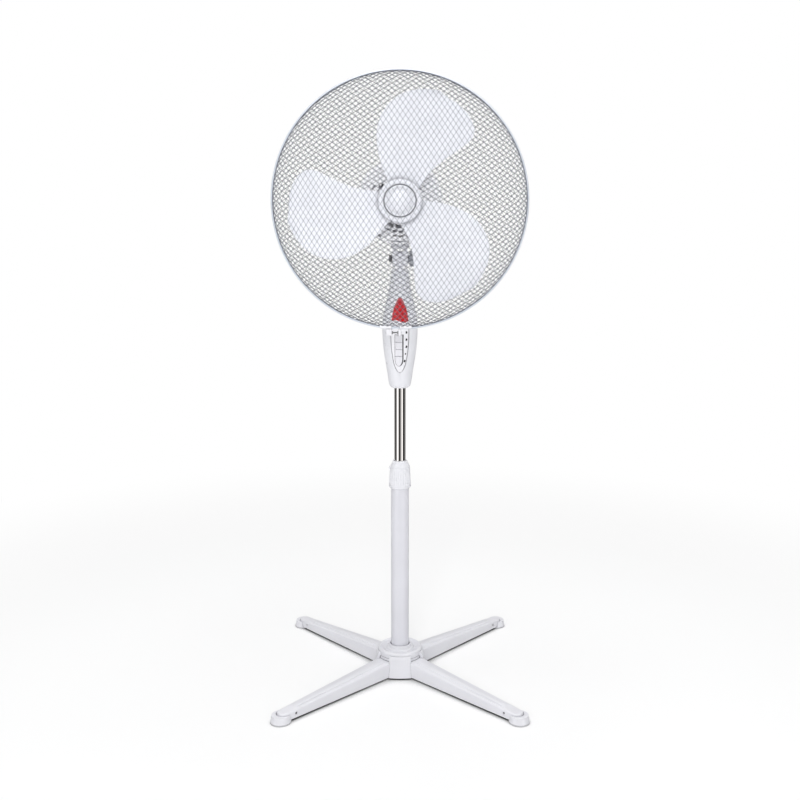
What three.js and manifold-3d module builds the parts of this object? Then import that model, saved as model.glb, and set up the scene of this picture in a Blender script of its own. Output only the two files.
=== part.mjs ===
// Pedestal fan: a cross base, a telescopic pole, a control box with four keys,
// a head that tilts and oscillates, and three blades inside a round guard.
// Millimetres. +Z is up, the origin is on the floor at the pole's axis, the fan faces -Y.
import * as THREE from 'three';
import { mergeVertices } from 'three/addons/utils/BufferGeometryUtils.js';
import Module from 'manifold-3d';

const wasm = await Module();
wasm.setup();

// ---------------------------------------------------------------- driving dimensions
const GAP = 0.3; // clearance between neighbouring pieces
const SEGMENTS = 20; // facets round a small turned piece
const RIM_SEGMENTS = 40; // facets round the guard

const FOOT_OFFSET = 192.5; // foot centre from the pole axis, in X and in Y
const FOOT_RADIUS = 17;
const FOOT_TOP_RADIUS = 14.4;
const FOOT_HEIGHT = 12.5;
const BAR_HUB_HALF_WIDTH = 18;
const BAR_TIP_HALF_WIDTH = 11.3;
const BAR_BOTTOM = 3.4;
const BAR_HUB_TOP = 28;
const BAR_TIP_TOP = 15;
const BAR_WALL = 2;
const HALF_LAP_HEIGHT = 14;
const HUB_RADIUS = 39.2;
const HUB_SKIRT_BOTTOM = 29.3;

const POLE_RADIUS = 15.8;
const POLE_BORE = 14.6;
const POLE_BOTTOM = 32.4;
const POLE_TOP = 352;
const COLLAR_BOTTOM = 336;
const COLLAR_TOP = 385;
const TUBE_RADIUS = 10;
const TUBE_BORE = 9;
const TUBE_BOTTOM = 235;
const TUBE_TOP = 552;

const BOX_BOTTOM = 518;
const BOX_TOP = 722;
const BOX_DEPTH_RATIO = 1.08; // half-depth over half-width
const BOX_WALL = 2.2;
const KEY_LEFT = -8.6;
const KEY_RIGHT = 4.2;
const KEY_TOP = 613.2;
const KEY_PITCH = 12.5;
const KEY_COUNT = 4;

const TILT_HEIGHT = 740; // the tilt bolt's axis
const NECK_TOP = 778;
const FAN_HEIGHT = 836; // the rotor's axis
const GEAR_Y = 60; // the gear shafts' distance behind the pole axis
const CLUTCH_X = -17;
const CRANK_X = 4;

const GUARD_RADIUS = 204.2;
const REAR_GUARD_DEPTH = 55;
const FRONT_GUARD_DEPTH = 58;
const REAR_RIM_Y = -108;
const FRONT_RIM_Y = -112;
const GUARD_SHEET = 0.9;
const RIM_RADIUS = 207;
const RIM_BEAD = 2.4;
const BAND_RADIUS = 209;
const CLAMP_X = -7; // the split in the clamp ring, beside the lowest point
const CLAMP_SCREW_Y = -110;
const CLAMP_SCREW_Z = -212.8; // below the fan's axis
const COVER_RADIUS = 71.5;
const COVER_WALL = 2;
const BLADE_RADIUS = 181.5;
const BLADE_COUNT = 3;
const BLADE_HUB_RADIUS = 35.4;
const BLADE_MIDDLE_Y = -100;

// ---------------------------------------------------------------- materials
const paint = (color, roughness, metalness = 0) =>
  new THREE.MeshStandardMaterial({ color, roughness, metalness });
const WHITE = paint(0xecedf2, 0.38);
const POLE_WHITE = paint(0xe3e4ec, 0.35);
const KEY_WHITE = paint(0xf2f3f6, 0.4);
const BLADE_WHITE = paint(0xe8eaf6, 0.3);
const WIRE = paint(0xd3d8e6, 0.35, 0.4);
const CHROME = paint(0xb8b6b4, 0.12, 1);
const STEEL = paint(0x9a9ca0, 0.4, 1);
const GREY = paint(0x9fa2a8, 0.5);
const DARK = paint(0x3c3e44, 0.55);
const COPPER = paint(0x8a5a3c, 0.5, 0.6);
const NYLON = paint(0xdedcd2, 0.5);
const RED = paint(0xd3151c, 0.35);

// ---------------------------------------------------------------- solids
/** Turns a closed three.js geometry into a solid whose faces point out. */
function solidOf(geometry) {
  const bare = geometry.clone();
  bare.deleteAttribute('normal');
  bare.deleteAttribute('uv');
  const merged = mergeVertices(bare, 1e-4);
  const points = merged.attributes.position.array;
  const corner = (index, axis) => points[3 * index + axis];
  const triangles = [];
  let volume = 0;
  for (let i = 0; i < merged.index.count; i += 3) {
    const [a, b, c] = [0, 1, 2].map((k) => merged.index.getX(i + k));
    if (a === b || b === c || c === a) continue;
    triangles.push([a, b, c]);
    const [p, q, r] = [a, b, c].map((v) => new THREE.Vector3(corner(v, 0), corner(v, 1), corner(v, 2)));
    volume += p.dot(q.cross(r));
  }
  const order = volume < 0 ? ([a, b, c]) => [a, c, b] : (triangle) => triangle;
  const mesh = new wasm.Mesh({
    numProp: 3,
    vertProperties: new Float32Array(points),
    triVerts: new Uint32Array(triangles.flatMap(order)),
  });
  return new wasm.Manifold(mesh);
}

/** Turns a solid back into a three.js geometry. */
function geometryOf(solid) {
  const { vertProperties, triVerts } = solid.getMesh();
  const geometry = new THREE.BufferGeometry();
  geometry.setAttribute('position', new THREE.BufferAttribute(new Float32Array(vertProperties), 3));
  geometry.setIndex(new THREE.BufferAttribute(new Uint32Array(triVerts), 1));
  geometry.computeVertexNormals();
  return geometry;
}

const join = (first, ...others) => others.reduce((sum, piece) => sum.add(piece), first);
const cut = (first, ...others) => others.reduce((rest, tool) => rest.subtract(tool), first);
const toVectors = (pairs) => pairs.map(([x, y]) => new THREE.Vector2(x, y));

/** A block between two corners. */
function block([x0, y0, z0], [x1, y1, z1]) {
  const geometry = new THREE.BoxGeometry(x1 - x0, y1 - y0, z1 - z0);
  geometry.translate((x0 + x1) / 2, (y0 + y1) / 2, (z0 + z1) / 2);
  return solidOf(geometry);
}

/** A piece turned about Z. The profile's pairs are [radius, z] and close on themselves. */
function turnedZ(profile, segments = SEGMENTS) {
  const geometry = new THREE.LatheGeometry(toVectors([...profile, profile[0]]), segments);
  geometry.rotateX(Math.PI / 2);
  return solidOf(geometry);
}

/** A piece turned about Y. The profile's pairs are [radius, y] and close on themselves. */
function turnedY(profile, segments = SEGMENTS) {
  return solidOf(new THREE.LatheGeometry(toVectors([...profile, profile[0]]), segments));
}

/** A rod along 'x', 'y' or 'z' between two positions on that axis, centred on the other two. */
function rod(axis, radius, from, to, [u, v] = [0, 0], segments = 16) {
  const geometry = new THREE.CylinderGeometry(radius, radius, to - from, segments);
  geometry.translate(0, (from + to) / 2, 0);
  if (axis === 'x') geometry.rotateZ(-Math.PI / 2).translate(0, u, v);
  if (axis === 'y') geometry.translate(u, 0, v);
  if (axis === 'z') geometry.rotateX(Math.PI / 2).translate(u, v, 0);
  return solidOf(geometry);
}

/** An outline in X and Y, extruded from one height to another. */
function extrudedZ(shape, from, to, curveSegments = 8) {
  const options = { depth: to - from, bevelEnabled: false, curveSegments };
  const geometry = new THREE.ExtrudeGeometry(shape, options);
  geometry.translate(0, 0, from);
  return solidOf(geometry);
}

/** An outline in X and Z, extruded along Y. */
function extrudedY(shape, from, to, curveSegments = 8) {
  const options = { depth: to - from, bevelEnabled: false, curveSegments };
  const geometry = new THREE.ExtrudeGeometry(shape, options);
  geometry.rotateX(Math.PI / 2).translate(0, to, 0);
  return solidOf(geometry);
}

/** An outline in Y and Z, extruded along X. */
function extrudedX(shape, from, to, curveSegments = 12) {
  const options = { depth: to - from, bevelEnabled: false, curveSegments };
  const geometry = new THREE.ExtrudeGeometry(shape, options);
  geometry.rotateX(Math.PI / 2).rotateZ(Math.PI / 2).translate(from, 0, 0);
  return solidOf(geometry);
}

/** A screw along Y: its head's face, then a shank that runs towards -Y. */
function screwY(headFace, headRadius, shankRadius, length, [x, z]) {
  const head = rod('y', headRadius, headFace - 2, headFace, [x, z], 16);
  return join(head, rod('y', shankRadius, headFace - length, headFace - 1, [x, z], 12));
}

/** Adds one named piece to a group. */
function add(group, name, solid, material) {
  const mesh = new THREE.Mesh(geometryOf(solid), material);
  mesh.name = name;
  group.add(mesh);
  return mesh;
}

// ---------------------------------------------------------------- cross base
/** The outside of one leg bar along X, or its hollow when it is inset. */
function barForm(inset, bottom) {
  const tipCentre = FOOT_OFFSET * Math.SQRT2 - 6;
  const tip = BAR_TIP_HALF_WIDTH - inset;
  const hub = BAR_HUB_HALF_WIDTH - inset;
  const plan = new THREE.Shape();
  plan.moveTo(-tipCentre, -tip);
  plan.lineTo(-BAR_HUB_HALF_WIDTH, -hub);
  plan.lineTo(BAR_HUB_HALF_WIDTH, -hub);
  plan.lineTo(tipCentre, -tip);
  plan.absarc(tipCentre, 0, tip, -Math.PI / 2, Math.PI / 2, false);
  plan.lineTo(BAR_HUB_HALF_WIDTH, hub);
  plan.lineTo(-BAR_HUB_HALF_WIDTH, hub);
  plan.lineTo(-tipCentre, tip);
  plan.absarc(-tipCentre, 0, tip, Math.PI / 2, 1.5 * Math.PI, false);

  const end = tipCentre + BAR_TIP_HALF_WIDTH + 1;
  const side = new THREE.Shape(toVectors([
    [-end, bottom], [end, bottom], [end, BAR_TIP_TOP - inset],
    [HUB_RADIUS, BAR_HUB_TOP - inset], [-HUB_RADIUS, BAR_HUB_TOP - inset], [-end, BAR_TIP_TOP - inset],
  ]));
  const width = 2 * BAR_HUB_HALF_WIDTH;
  return extrudedZ(plan, 0, BAR_HUB_TOP + 1).intersect(extrudedY(side, -width, width));
}

/** One channel bar with a half-lap notch above or below the crossing. */
function legBar(notchIsAbove) {
  const reach = BAR_HUB_HALF_WIDTH + 2 * GAP;
  const notch = notchIsAbove
    ? block([-reach, -40, HALF_LAP_HEIGHT], [reach, 40, 40])
    : block([-reach, -40, 0], [reach, 40, HALF_LAP_HEIGHT + GAP]);
  const boltHole = rod('z', 4.5, 0, 40);
  return cut(barForm(0, BAR_BOTTOM), barForm(BAR_WALL, BAR_BOTTOM - 1), notch, boltHole);
}

/** A shoe over a bar's end, centred on its own foot, with the bar coming in from -X. */
function footCap() {
  const body = turnedZ([
    [0, 0], [FOOT_RADIUS, 0], [FOOT_RADIUS, 2], [FOOT_RADIUS - 0.9, 3],
    [FOOT_TOP_RADIUS, FOOT_HEIGHT - 1], [FOOT_TOP_RADIUS - 0.8, FOOT_HEIGHT], [0, FOOT_HEIGHT],
  ]);
  const pocket = new THREE.Shape();
  const room = BAR_TIP_HALF_WIDTH + GAP;
  pocket.moveTo(-30, -room - 1);
  pocket.lineTo(-6, -room);
  pocket.absarc(-6, 0, room + 1, -Math.PI / 2, Math.PI / 2, false);
  pocket.lineTo(-30, room + 1);
  return cut(body, extrudedZ(pocket, BAR_BOTTOM - GAP, 40));
}

/** The stepped round cover over the crossing, with a flat skirt between each pair of legs. */
function hubCover() {
  const dome = turnedZ([
    [17.2, 44.5], [17.2, 48.3], [18.2, 49], [20, 48], [24, 41.6], [24.8, 40.4], [27, 41.2], [34.5, 40.6],
    [38.2, 39], [HUB_RADIUS, 36.5], [HUB_RADIUS, HUB_SKIRT_BOTTOM], [36.8, HUB_SKIRT_BOTTOM],
    [36.8, 36], [26, 38.2], [22, 38.6], [19.4, 44.5],
  ], 28);
  const face = 45;
  const halfWidth = face - BAR_HUB_HALF_WIDTH * Math.SQRT2 - 1.5 * GAP;
  const skirt = new THREE.Shape(toVectors([
    [-halfWidth, -face], [halfWidth, -face], [halfWidth - 2.4, -face + 2.4], [2.4 - halfWidth, -face + 2.4],
  ]));
  const panel = join(
    extrudedZ(skirt, BAR_BOTTOM, HUB_SKIRT_BOTTOM + 1),
    block([-halfWidth, -face, HUB_SKIRT_BOTTOM], [halfWidth, -37.5, 36]),
  );
  const panels = [0, 90, 180, 270].map((angle) => panel.rotate([0, 0, angle]));
  return join(dome, ...panels);
}

function buildBase() {
  const base = new THREE.Group();
  const lowerBar = add(base, 'leg_bar_lower', legBar(true), WHITE);
  lowerBar.rotation.z = Math.PI / 4;
  const upperBar = add(base, 'leg_bar_upper', legBar(false), WHITE);
  upperBar.rotation.z = -Math.PI / 4;

  const corners = { front_left: [-1, -1], front_right: [1, -1], back_left: [-1, 1], back_right: [1, 1] };
  for (const [corner, [sideX, sideY]] of Object.entries(corners)) {
    const cap = add(base, `foot_cap_${corner}`, footCap(), WHITE);
    cap.position.set(sideX * FOOT_OFFSET, sideY * FOOT_OFFSET, 0);
    cap.rotation.z = Math.atan2(sideY, sideX);
  }

  add(base, 'base_hub_cover', hubCover(), WHITE);
  add(base, 'pole_flange', turnedZ([
    [4.5, BAR_HUB_TOP + GAP], [30, BAR_HUB_TOP + GAP], [30, 32], [POLE_BORE - GAP, 32],
    [POLE_BORE - GAP, 79], [13.3, 80], [11, 80], [11, 33.5], [4.5, 33.5],
  ]), STEEL);
  const boltHead = rod('z', 11, 9, 12.5, [0, 0], 6);
  const nut = rod('z', 7, 34, 40, [0, 0], 6);
  add(base, 'base_bolt', join(boltHead, rod('z', 4, 12, 46), nut), STEEL);
  add(base, 'lower_pole', turnedZ([
    [POLE_BORE, POLE_BOTTOM], [POLE_RADIUS, POLE_BOTTOM], [POLE_RADIUS, POLE_TOP], [POLE_BORE, POLE_TOP],
  ], 24), POLE_WHITE);
  add(base, 'pole_bush', turnedZ([
    [TUBE_RADIUS + GAP, 318], [POLE_BORE - GAP, 318], [POLE_BORE - GAP, POLE_TOP + GAP],
    [POLE_RADIUS - 0.2, POLE_TOP + GAP], [POLE_RADIUS - 0.2, 366], [13, 374], [TUBE_RADIUS + GAP, 374],
  ]), NYLON);
  return base;
}

// ---------------------------------------------------------------- locking collar
function lockingCollar() {
  return turnedZ([
    [POLE_RADIUS + 2 * GAP, COLLAR_BOTTOM], [17.4, COLLAR_BOTTOM], [19.4, 339], [19.5, 343],
    [17.7, 370], [17, 373.5], [13.2, 381], [12.4, COLLAR_TOP], [TUBE_RADIUS + 2 * GAP, COLLAR_TOP],
    [TUBE_RADIUS + 2 * GAP, 380], [14, 376], [POLE_RADIUS + 2 * GAP, 368],
  ], 24);
}

// ---------------------------------------------------------------- control box
/** Half-widths of the control box at their heights, from the foot of the box to its neck. */
const BOX_OUTLINE = new THREE.SplineCurve(toVectors([
  [12.4, BOX_BOTTOM], [15.6, 522], [18.4, 531], [21.6, 548], [25.2, 568], [28.4, 591], [29.8, 617],
  [28, 642], [22.5, 670], [17.3, 698], [13.6, BOX_TOP],
]));

/** The box's outer form, or a smaller one inside it when it is inset. */
function boxForm(inset, bottom = BOX_BOTTOM, top = BOX_TOP) {
  const side = BOX_OUTLINE.getPoints(10).map(({ x, y }) => [x - inset, y]);
  side[0][1] = bottom;
  side.at(-1)[1] = top;
  const form = turnedZ([[0, bottom], ...side, [0, top]], 24);
  return form.scale([1, BOX_DEPTH_RATIO, 1]);
}

/** The tongue-shaped outline of the key panel, seen from the front. */
function panelOutline(margin) {
  const middle = -0.8;
  const half = 15.2 + margin;
  const shape = new THREE.Shape();
  shape.moveTo(middle - half, 630 + margin);
  shape.lineTo(middle - half, 584);
  shape.bezierCurveTo(middle - half + 1, 566, middle - 7, 548 - margin, middle, 547.5 - margin);
  shape.bezierCurveTo(middle + 7, 548 - margin, middle + half - 1, 566, middle + half, 584);
  shape.lineTo(middle + half, 630 + margin);
  return shape;
}

/** The pointed arch of the plain red insert above the panel. */
function badgeOutline(margin) {
  const half = 13.6 + margin;
  const shape = new THREE.Shape();
  shape.moveTo(-half, 636 - margin);
  shape.lineTo(half, 636 - margin);
  shape.bezierCurveTo(half, 652, 8 + margin, 664, 0, 673 + margin);
  shape.bezierCurveTo(-8 - margin, 664, -half, 652, -half, 636 - margin);
  return shape;
}

/** The column of keys, widened by a margin: its last key has a rounded point. */
function keyColumn(margin) {
  const bottom = KEY_TOP - KEY_COUNT * KEY_PITCH - 4.3;
  const middle = (KEY_LEFT + KEY_RIGHT) / 2;
  const [left, right] = [KEY_LEFT - margin, KEY_RIGHT + margin];
  const shape = new THREE.Shape();
  shape.moveTo(left, KEY_TOP + margin);
  shape.lineTo(left, bottom + 10);
  shape.quadraticCurveTo(left + 1.5, bottom + 1 - margin, middle, bottom - margin);
  shape.quadraticCurveTo(right - 1.5, bottom + 1 - margin, right, bottom + 10);
  shape.lineTo(right, KEY_TOP + margin);
  return extrudedY(shape, -45, -8);
}

/** One key of the column, counted from the top. Its face stands proud of the panel. */
function key(index) {
  const top = KEY_TOP - index * KEY_PITCH;
  const isLast = index === KEY_COUNT - 1;
  const bottom = isLast ? top - KEY_PITCH - 10 : top - KEY_PITCH + 0.5;
  const slice = block([-20, -60, bottom], [20, 0, top]);
  const face = boxForm(-1.6).intersect(slice);
  const body = cut(face, block([-20, -22, 0], [20, 60, 1000]));
  return keyColumn(0).intersect(body);
}

function controlBoxShells() {
  const hollow = boxForm(BOX_WALL, BOX_BOTTOM + 2.5, BOX_TOP + 1);
  const tubeHole = rod('z', TUBE_RADIUS + GAP, 500, 530);
  const whole = cut(boxForm(0), hollow, tubeHole);
  const windows = [
    extrudedY(panelOutline(GAP), -60, -5),
    extrudedY(badgeOutline(GAP), -60, -5),
  ];
  const front = cut(whole, block([-50, 0, 0], [50, 60, 1000]), ...windows);
  const screwHoles = [577, 655].map((z) => rod('y', 2.4, 10, 60, [0, z], 12));
  const inletHole = rod('y', 5.6, 10, 60, [0, 556], 16);
  const setScrewHole = rod('y', 2.8, 10, 60, [0, 536], 12);
  const rear = cut(whole, block([-50, -60, 0], [50, GAP, 1000]), ...screwHoles, inletHole, setScrewHole);
  return { front, rear };
}

/** A plate that follows the box's front inside an outline, standing proud by a little. */
function frontInsert(outline, proud, thickness) {
  const skin = cut(boxForm(-proud), boxForm(thickness - proud, BOX_BOTTOM - 5, BOX_TOP + 5));
  return skin.intersect(extrudedY(outline, -60, -5));
}

function buildMast() {
  const mast = new THREE.Group();
  add(mast, 'inner_tube', turnedZ([
    [TUBE_BORE, TUBE_BOTTOM], [TUBE_RADIUS, TUBE_BOTTOM], [TUBE_RADIUS, TUBE_TOP], [TUBE_BORE, TUBE_TOP],
  ]), CHROME);
  add(mast, 'tube_end_plug', turnedZ([
    [0, 225], [POLE_BORE - 2 * GAP, 225], [POLE_BORE - 2 * GAP, TUBE_BOTTOM - GAP],
    [TUBE_BORE - GAP, TUBE_BOTTOM - GAP], [TUBE_BORE - GAP, 250], [0, 250],
  ]), NYLON);
  add(mast, 'tube_socket', cut(turnedZ([
    [TUBE_RADIUS + GAP, 522.5], [12.6, 522.5], [14, 530], [14, 551], [TUBE_RADIUS + GAP, 551],
  ]), rod('y', 3, 5, 30, [0, 536], 12)), NYLON);

  const { front, rear } = controlBoxShells();
  add(mast, 'control_box_front', front, WHITE);
  add(mast, 'control_box_rear', rear, WHITE);
  const panel = cut(frontInsert(panelOutline(0), -0.5, 2.4), keyColumn(GAP));
  add(mast, 'control_panel', panel, KEY_WHITE);
  add(mast, 'badge_insert', frontInsert(badgeOutline(0), 0.3, 2.2), RED);
  add(mast, 'switch_block', block([-12, -17.5, 562], [9, -5, 616]), DARK);

  const tongue = new THREE.Shape();
  tongue.moveTo(-10, 682);
  tongue.lineTo(10, 682);
  tongue.lineTo(10, TILT_HEIGHT - 10);
  tongue.absarc(0, TILT_HEIGHT, 13, -0.3, Math.PI + 0.3, false);
  tongue.lineTo(-10, TILT_HEIGHT - 10);
  const boltHole = rod('x', 3.3, -20, 20, [0, TILT_HEIGHT]);
  add(mast, 'stand_knuckle', cut(extrudedX(tongue, -6, 6), boltHole), STEEL);
  const onTiltAxis = [0, TILT_HEIGHT];
  const bolt = join(rod('x', 3, -17, 24, onTiltAxis), rod('x', 6.5, -19, -13 - GAP, onTiltAxis, 6));
  add(mast, 'tilt_bolt', bolt, STEEL);

  add(mast, 'cord_inlet', turnedY([
    [2.8, 17], [5.3, 17], [5.3, 28], [7.2, 28], [7.2, 30.5], [5.4, 31], [4.6, 38], [2.8, 38],
  ], 20).translate([0, 0, 556]), DARK);
  add(mast, 'tube_set_screw', rod('y', 2.4, TUBE_RADIUS + GAP, 25, [0, 536], 12), STEEL);
  add(mast, 'box_screw_lower', screwY(33.5, 4, 2, 18, [0, 577]), STEEL);
  add(mast, 'box_screw_upper', screwY(31, 4, 2, 18, [0, 655]), STEEL);
  return mast;
}

function buildKeys() {
  const keys = new THREE.Group();
  const names = ['key_off', 'key_low', 'key_medium', 'key_high'];
  names.forEach((name, index) => add(keys, name, key(index), KEY_WHITE));
  return keys;
}

// ---------------------------------------------------------------- tilting neck
/** The fork, with its origin on the tilt bolt's axis. */
function tiltNeck() {
  const ear = new THREE.Shape();
  ear.absarc(0, 0, 14, Math.PI, 2 * Math.PI, false);
  ear.lineTo(12, 20);
  ear.lineTo(-12, 20);
  const ears = [extrudedX(ear, 6.4, 13), extrudedX(ear, -13, -6.4)];
  const top = NECK_TOP - TILT_HEIGHT;
  const bridge = turnedZ([[0, 17], [13, 17], [16, 22], [16, top], [0, top]]);
  const linkLug = block([10, 6, top - 5], [32, 26, top - 1]);
  const bushBore = rod('z', 8 + GAP, 20, top + 1);
  return cut(join(bridge, ...ears, linkLug), bushBore, rod('x', 3.3, -20, 20));
}

/** A clamp knob with lobes, turning on the tilt bolt. */
function tiltKnob() {
  const lobes = 6;
  const petals = Array.from({ length: lobes }, (_, index) => {
    const angle = (2 * Math.PI * index) / lobes;
    return rod('x', 3.6, 16, 28, [11.4 * Math.cos(angle), 11.4 * Math.sin(angle)], 12);
  });
  const body = join(rod('x', 12, 16, 28), rod('x', 6, 13 + GAP, 17), ...petals);
  return cut(body, rod('x', 3.3, 10, 25));
}

function buildNeck() {
  const neck = new THREE.Group();
  neck.position.z = TILT_HEIGHT;
  add(neck, 'tilt_neck', tiltNeck(), WHITE);
  add(neck, 'tilt_knob', tiltKnob(), DARK);
  const top = NECK_TOP - TILT_HEIGHT;
  add(neck, 'oscillation_bush', turnedZ([
    [5 + GAP, 20 + GAP], [8, 20 + GAP], [8, top + GAP], [12, top + GAP], [12, top + 2], [5 + GAP, top + 2],
  ]), NYLON);
  return neck;
}

// ---------------------------------------------------------------- gearbox and oscillation drive
/** A spur gear's outline: straight-sided teeth with running clearance. */
function gearShape(teeth, module) {
  const pitchRadius = (teeth * module) / 2;
  const [tip, root] = [pitchRadius + 0.85 * module, pitchRadius - 1.15 * module];
  const step = (2 * Math.PI) / teeth;
  const flanks = [[-0.28, root], [-0.11, tip], [0.11, tip], [0.28, root]];
  const points = [];
  for (let tooth = 0; tooth < teeth; tooth += 1) {
    for (const [share, radius] of flanks) {
      const angle = (tooth + share) * step;
      points.push(new THREE.Vector2(radius * Math.cos(angle), radius * Math.sin(angle)));
    }
  }
  return new THREE.Shape(points);
}

/** The gearbox with its saddle over the oscillation pivot; heights are above the floor. */
function gearboxCase() {
  const chamber = block([-31.5, 38.4, 800], [24, 80.5, 864]);
  const room = block([-29, 41, 803], [21.5, 78, 870]);
  const saddle = block([-16, 0, 782], [2, 44, 789.6]);
  const web = block([-16, 38.4, 782], [2, 44, 803]);
  const boss = rod('z', 12, NECK_TOP + 2 + GAP, 789.6);
  return cut(
    join(cut(chamber, room), saddle, web, boss),
    rod('z', 5 + GAP, 770, 800),
    rod('y', 4.6, 30, 50, [0, FAN_HEIGHT]),
    rod('z', 3.4, 780, 805, [CRANK_X, GEAR_Y], 16),
  );
}

function buildDrive() {
  const drive = new THREE.Group();
  add(drive, 'gearbox_case', gearboxCase(), GREY);
  const lid = block([-31.5, 38.4, 864 + GAP], [24, 80.5, 867]);
  add(drive, 'gearbox_lid', cut(lid, rod('z', 3, 860, 870, [CLUTCH_X, GEAR_Y], 16)), GREY);
  add(drive, 'pivot_pin', join(rod('z', 5, 762, 791, [0, 0], 20), rod('z', 8, 790, 793)), STEEL);

  const wheelBore = rod('z', 2.8, 820, 850, [0, 0], 16);
  const wheel = cut(extrudedZ(gearShape(21, 1), FAN_HEIGHT - 5, FAN_HEIGHT + 5), wheelBore);
  add(drive, 'worm_wheel', wheel, NYLON).position.set(CLUTCH_X, GEAR_Y, 0);
  const pinion = extrudedZ(gearShape(10, 1), 806.5, 814);
  const clutchShaft = join(pinion, rod('z', 2.5, 804, 872, [0, 0], 16));
  add(drive, 'clutch_shaft', clutchShaft, STEEL).position.set(CLUTCH_X, GEAR_Y, 0);

  const crankGear = cut(extrudedZ(gearShape(32, 1), 807, 813), rod('z', 3.3, 800, 820, [0, 0], 16));
  const halfTooth = Math.PI / 32;
  const gear = add(drive, 'crank_gear', crankGear.rotate([0, 0, (halfTooth * 180) / Math.PI]), NYLON);
  gear.position.set(CRANK_X, GEAR_Y, 0);
  const throwX = 7;
  const crank = join(
    rod('z', 3, 792, 815, [0, 0], 16),
    rod('z', 12, 792, 796.5),
    rod('z', 2.5, 782.5, 793, [throwX, 0], 16),
  );
  add(drive, 'crank_disc', crank, STEEL).position.set(CRANK_X, GEAR_Y, 0);

  const link = new THREE.Shape();
  const [endX, endY] = [20, -34];
  const along = Math.atan2(endY, endX);
  link.absarc(0, 0, 5, along + Math.PI / 2, along + 1.5 * Math.PI, false);
  link.absarc(endX, endY, 4.5, along - Math.PI / 2, along + Math.PI / 2, false);
  const linkPlate = cut(
    extrudedZ(link, 783.5, 786.5),
    rod('z', 2.8, 780, 790, [0, 0], 16),
    rod('z', 2.2, 780, 790, [endX, endY], 16),
  );
  add(drive, 'crank_link', linkPlate, STEEL).position.set(CRANK_X + throwX, GEAR_Y, 0);

  const knob = turnedZ([
    [0, 872.4], [3.2, 872.4], [3.2, 907], [7.4, 907], [8.2, 909],
    [6.6, 915], [7.6, 920], [6.4, 922], [0, 922],
  ], 20);
  add(drive, 'oscillation_knob', knob, WHITE).position.set(CLUTCH_X, GEAR_Y, 0);
  return drive;
}

// ---------------------------------------------------------------- motor and guards
/** One face of a domed guard: [radius, y] from the inner edge out to the rim plane. */
function domeFace(innerRadius, rimRadius, rimY, depth) {
  const steps = 6;
  return Array.from({ length: steps + 1 }, (_, index) => {
    const share = Math.sin((index / steps) * (Math.PI / 2));
    const radius = innerRadius + (rimRadius - innerRadius) * share;
    return [radius, rimY + depth * Math.sqrt(1 - Math.min(1, radius / rimRadius) ** 3)];
  });
}

/** A thin domed guard with a square bead round its rim. Its depth is towards +Y or -Y. */
function guardProfile(innerRadius, rimY, depth) {
  const side = Math.sign(depth);
  const outside = domeFace(innerRadius, GUARD_RADIUS, rimY, depth).slice(0, -1);
  const inside = domeFace(innerRadius, GUARD_RADIUS - GUARD_SHEET, rimY, depth - side * GUARD_SHEET);
  const beadY = rimY + side * RIM_BEAD;
  const bead = [[GUARD_RADIUS, beadY], [RIM_RADIUS, beadY], [RIM_RADIUS, rimY]];
  return [...outside, ...bead, ...inside.reverse()];
}

function clampRing() {
  const lipRadius = BAND_RADIUS - 4.2;
  const inside = BAND_RADIUS - 1.5;
  const band = turnedY([
    [BAND_RADIUS, -104], [BAND_RADIUS, -116], [lipRadius, -117.4], [lipRadius, -116.2], [inside, -115],
    [inside, -105], [lipRadius, -103.8], [lipRadius, -102.6],
  ], RIM_SEGMENTS);
  const split = block([-5, -130, -240], [5, -90, -200]);
  const lugTop = 1.2 - BAND_RADIUS;
  const lugBottom = CLAMP_SCREW_Z - 4.4;
  const lugs = [[5, 8], [-8, -5]].map(([from, to]) => block([from, -116, lugBottom], [to, -104, lugTop]));
  const screwHole = rod('x', 2.3, -20, 20, [CLAMP_SCREW_Y, CLAMP_SCREW_Z], 12);
  const onSplit = (piece) => piece.translate([CLAMP_X, 0, 0]);
  return cut(join(cut(band, onSplit(split)), ...lugs.map(onSplit)), onSplit(screwHole));
}

/** The screw that draws the clamp ring's two lugs together, with its head and its nut. */
function clampScrew() {
  const axis = [CLAMP_SCREW_Y, CLAMP_SCREW_Z];
  const head = rod('x', 3.6, 8 + GAP, 11, axis, 6);
  const nut = rod('x', 3.6, -11.5, -8 - GAP, axis, 6);
  const screw = join(rod('x', 2, -12, 12, axis, 12), head, nut);
  return screw.translate([CLAMP_X, 0, 0]);
}

function motorCover() {
  const side = [[COVER_RADIUS - 1, -48], [COVER_RADIUS, -20], [COVER_RADIUS, 46]];
  const back = [[67.5, 72], [54, 89], [24, 96], [2.4, 96.5]];
  const backInside = [[2.4, 94.3], [23.4, 94], [52.6, 87.4], [65.5, 70.8]];
  const inside = COVER_RADIUS - COVER_WALL;
  const sideInside = [[inside, 46], [inside, -20], [inside - 1, -48]];
  const shell = turnedY([...side, ...back, ...backInside, ...sideInside], 28);
  const underside = block([-34, -22, -80], [42, 84, -36]);
  const knobHole = rod('z', 4.2, 40, 80, [CLUTCH_X, GEAR_Y], 16);
  const slots = [-30, -18, 18, 30].map((z) => block([-30, 80, z - 2], [30, 110, z + 2]));
  return cut(shell, underside, knobHole, ...slots);
}

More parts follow.
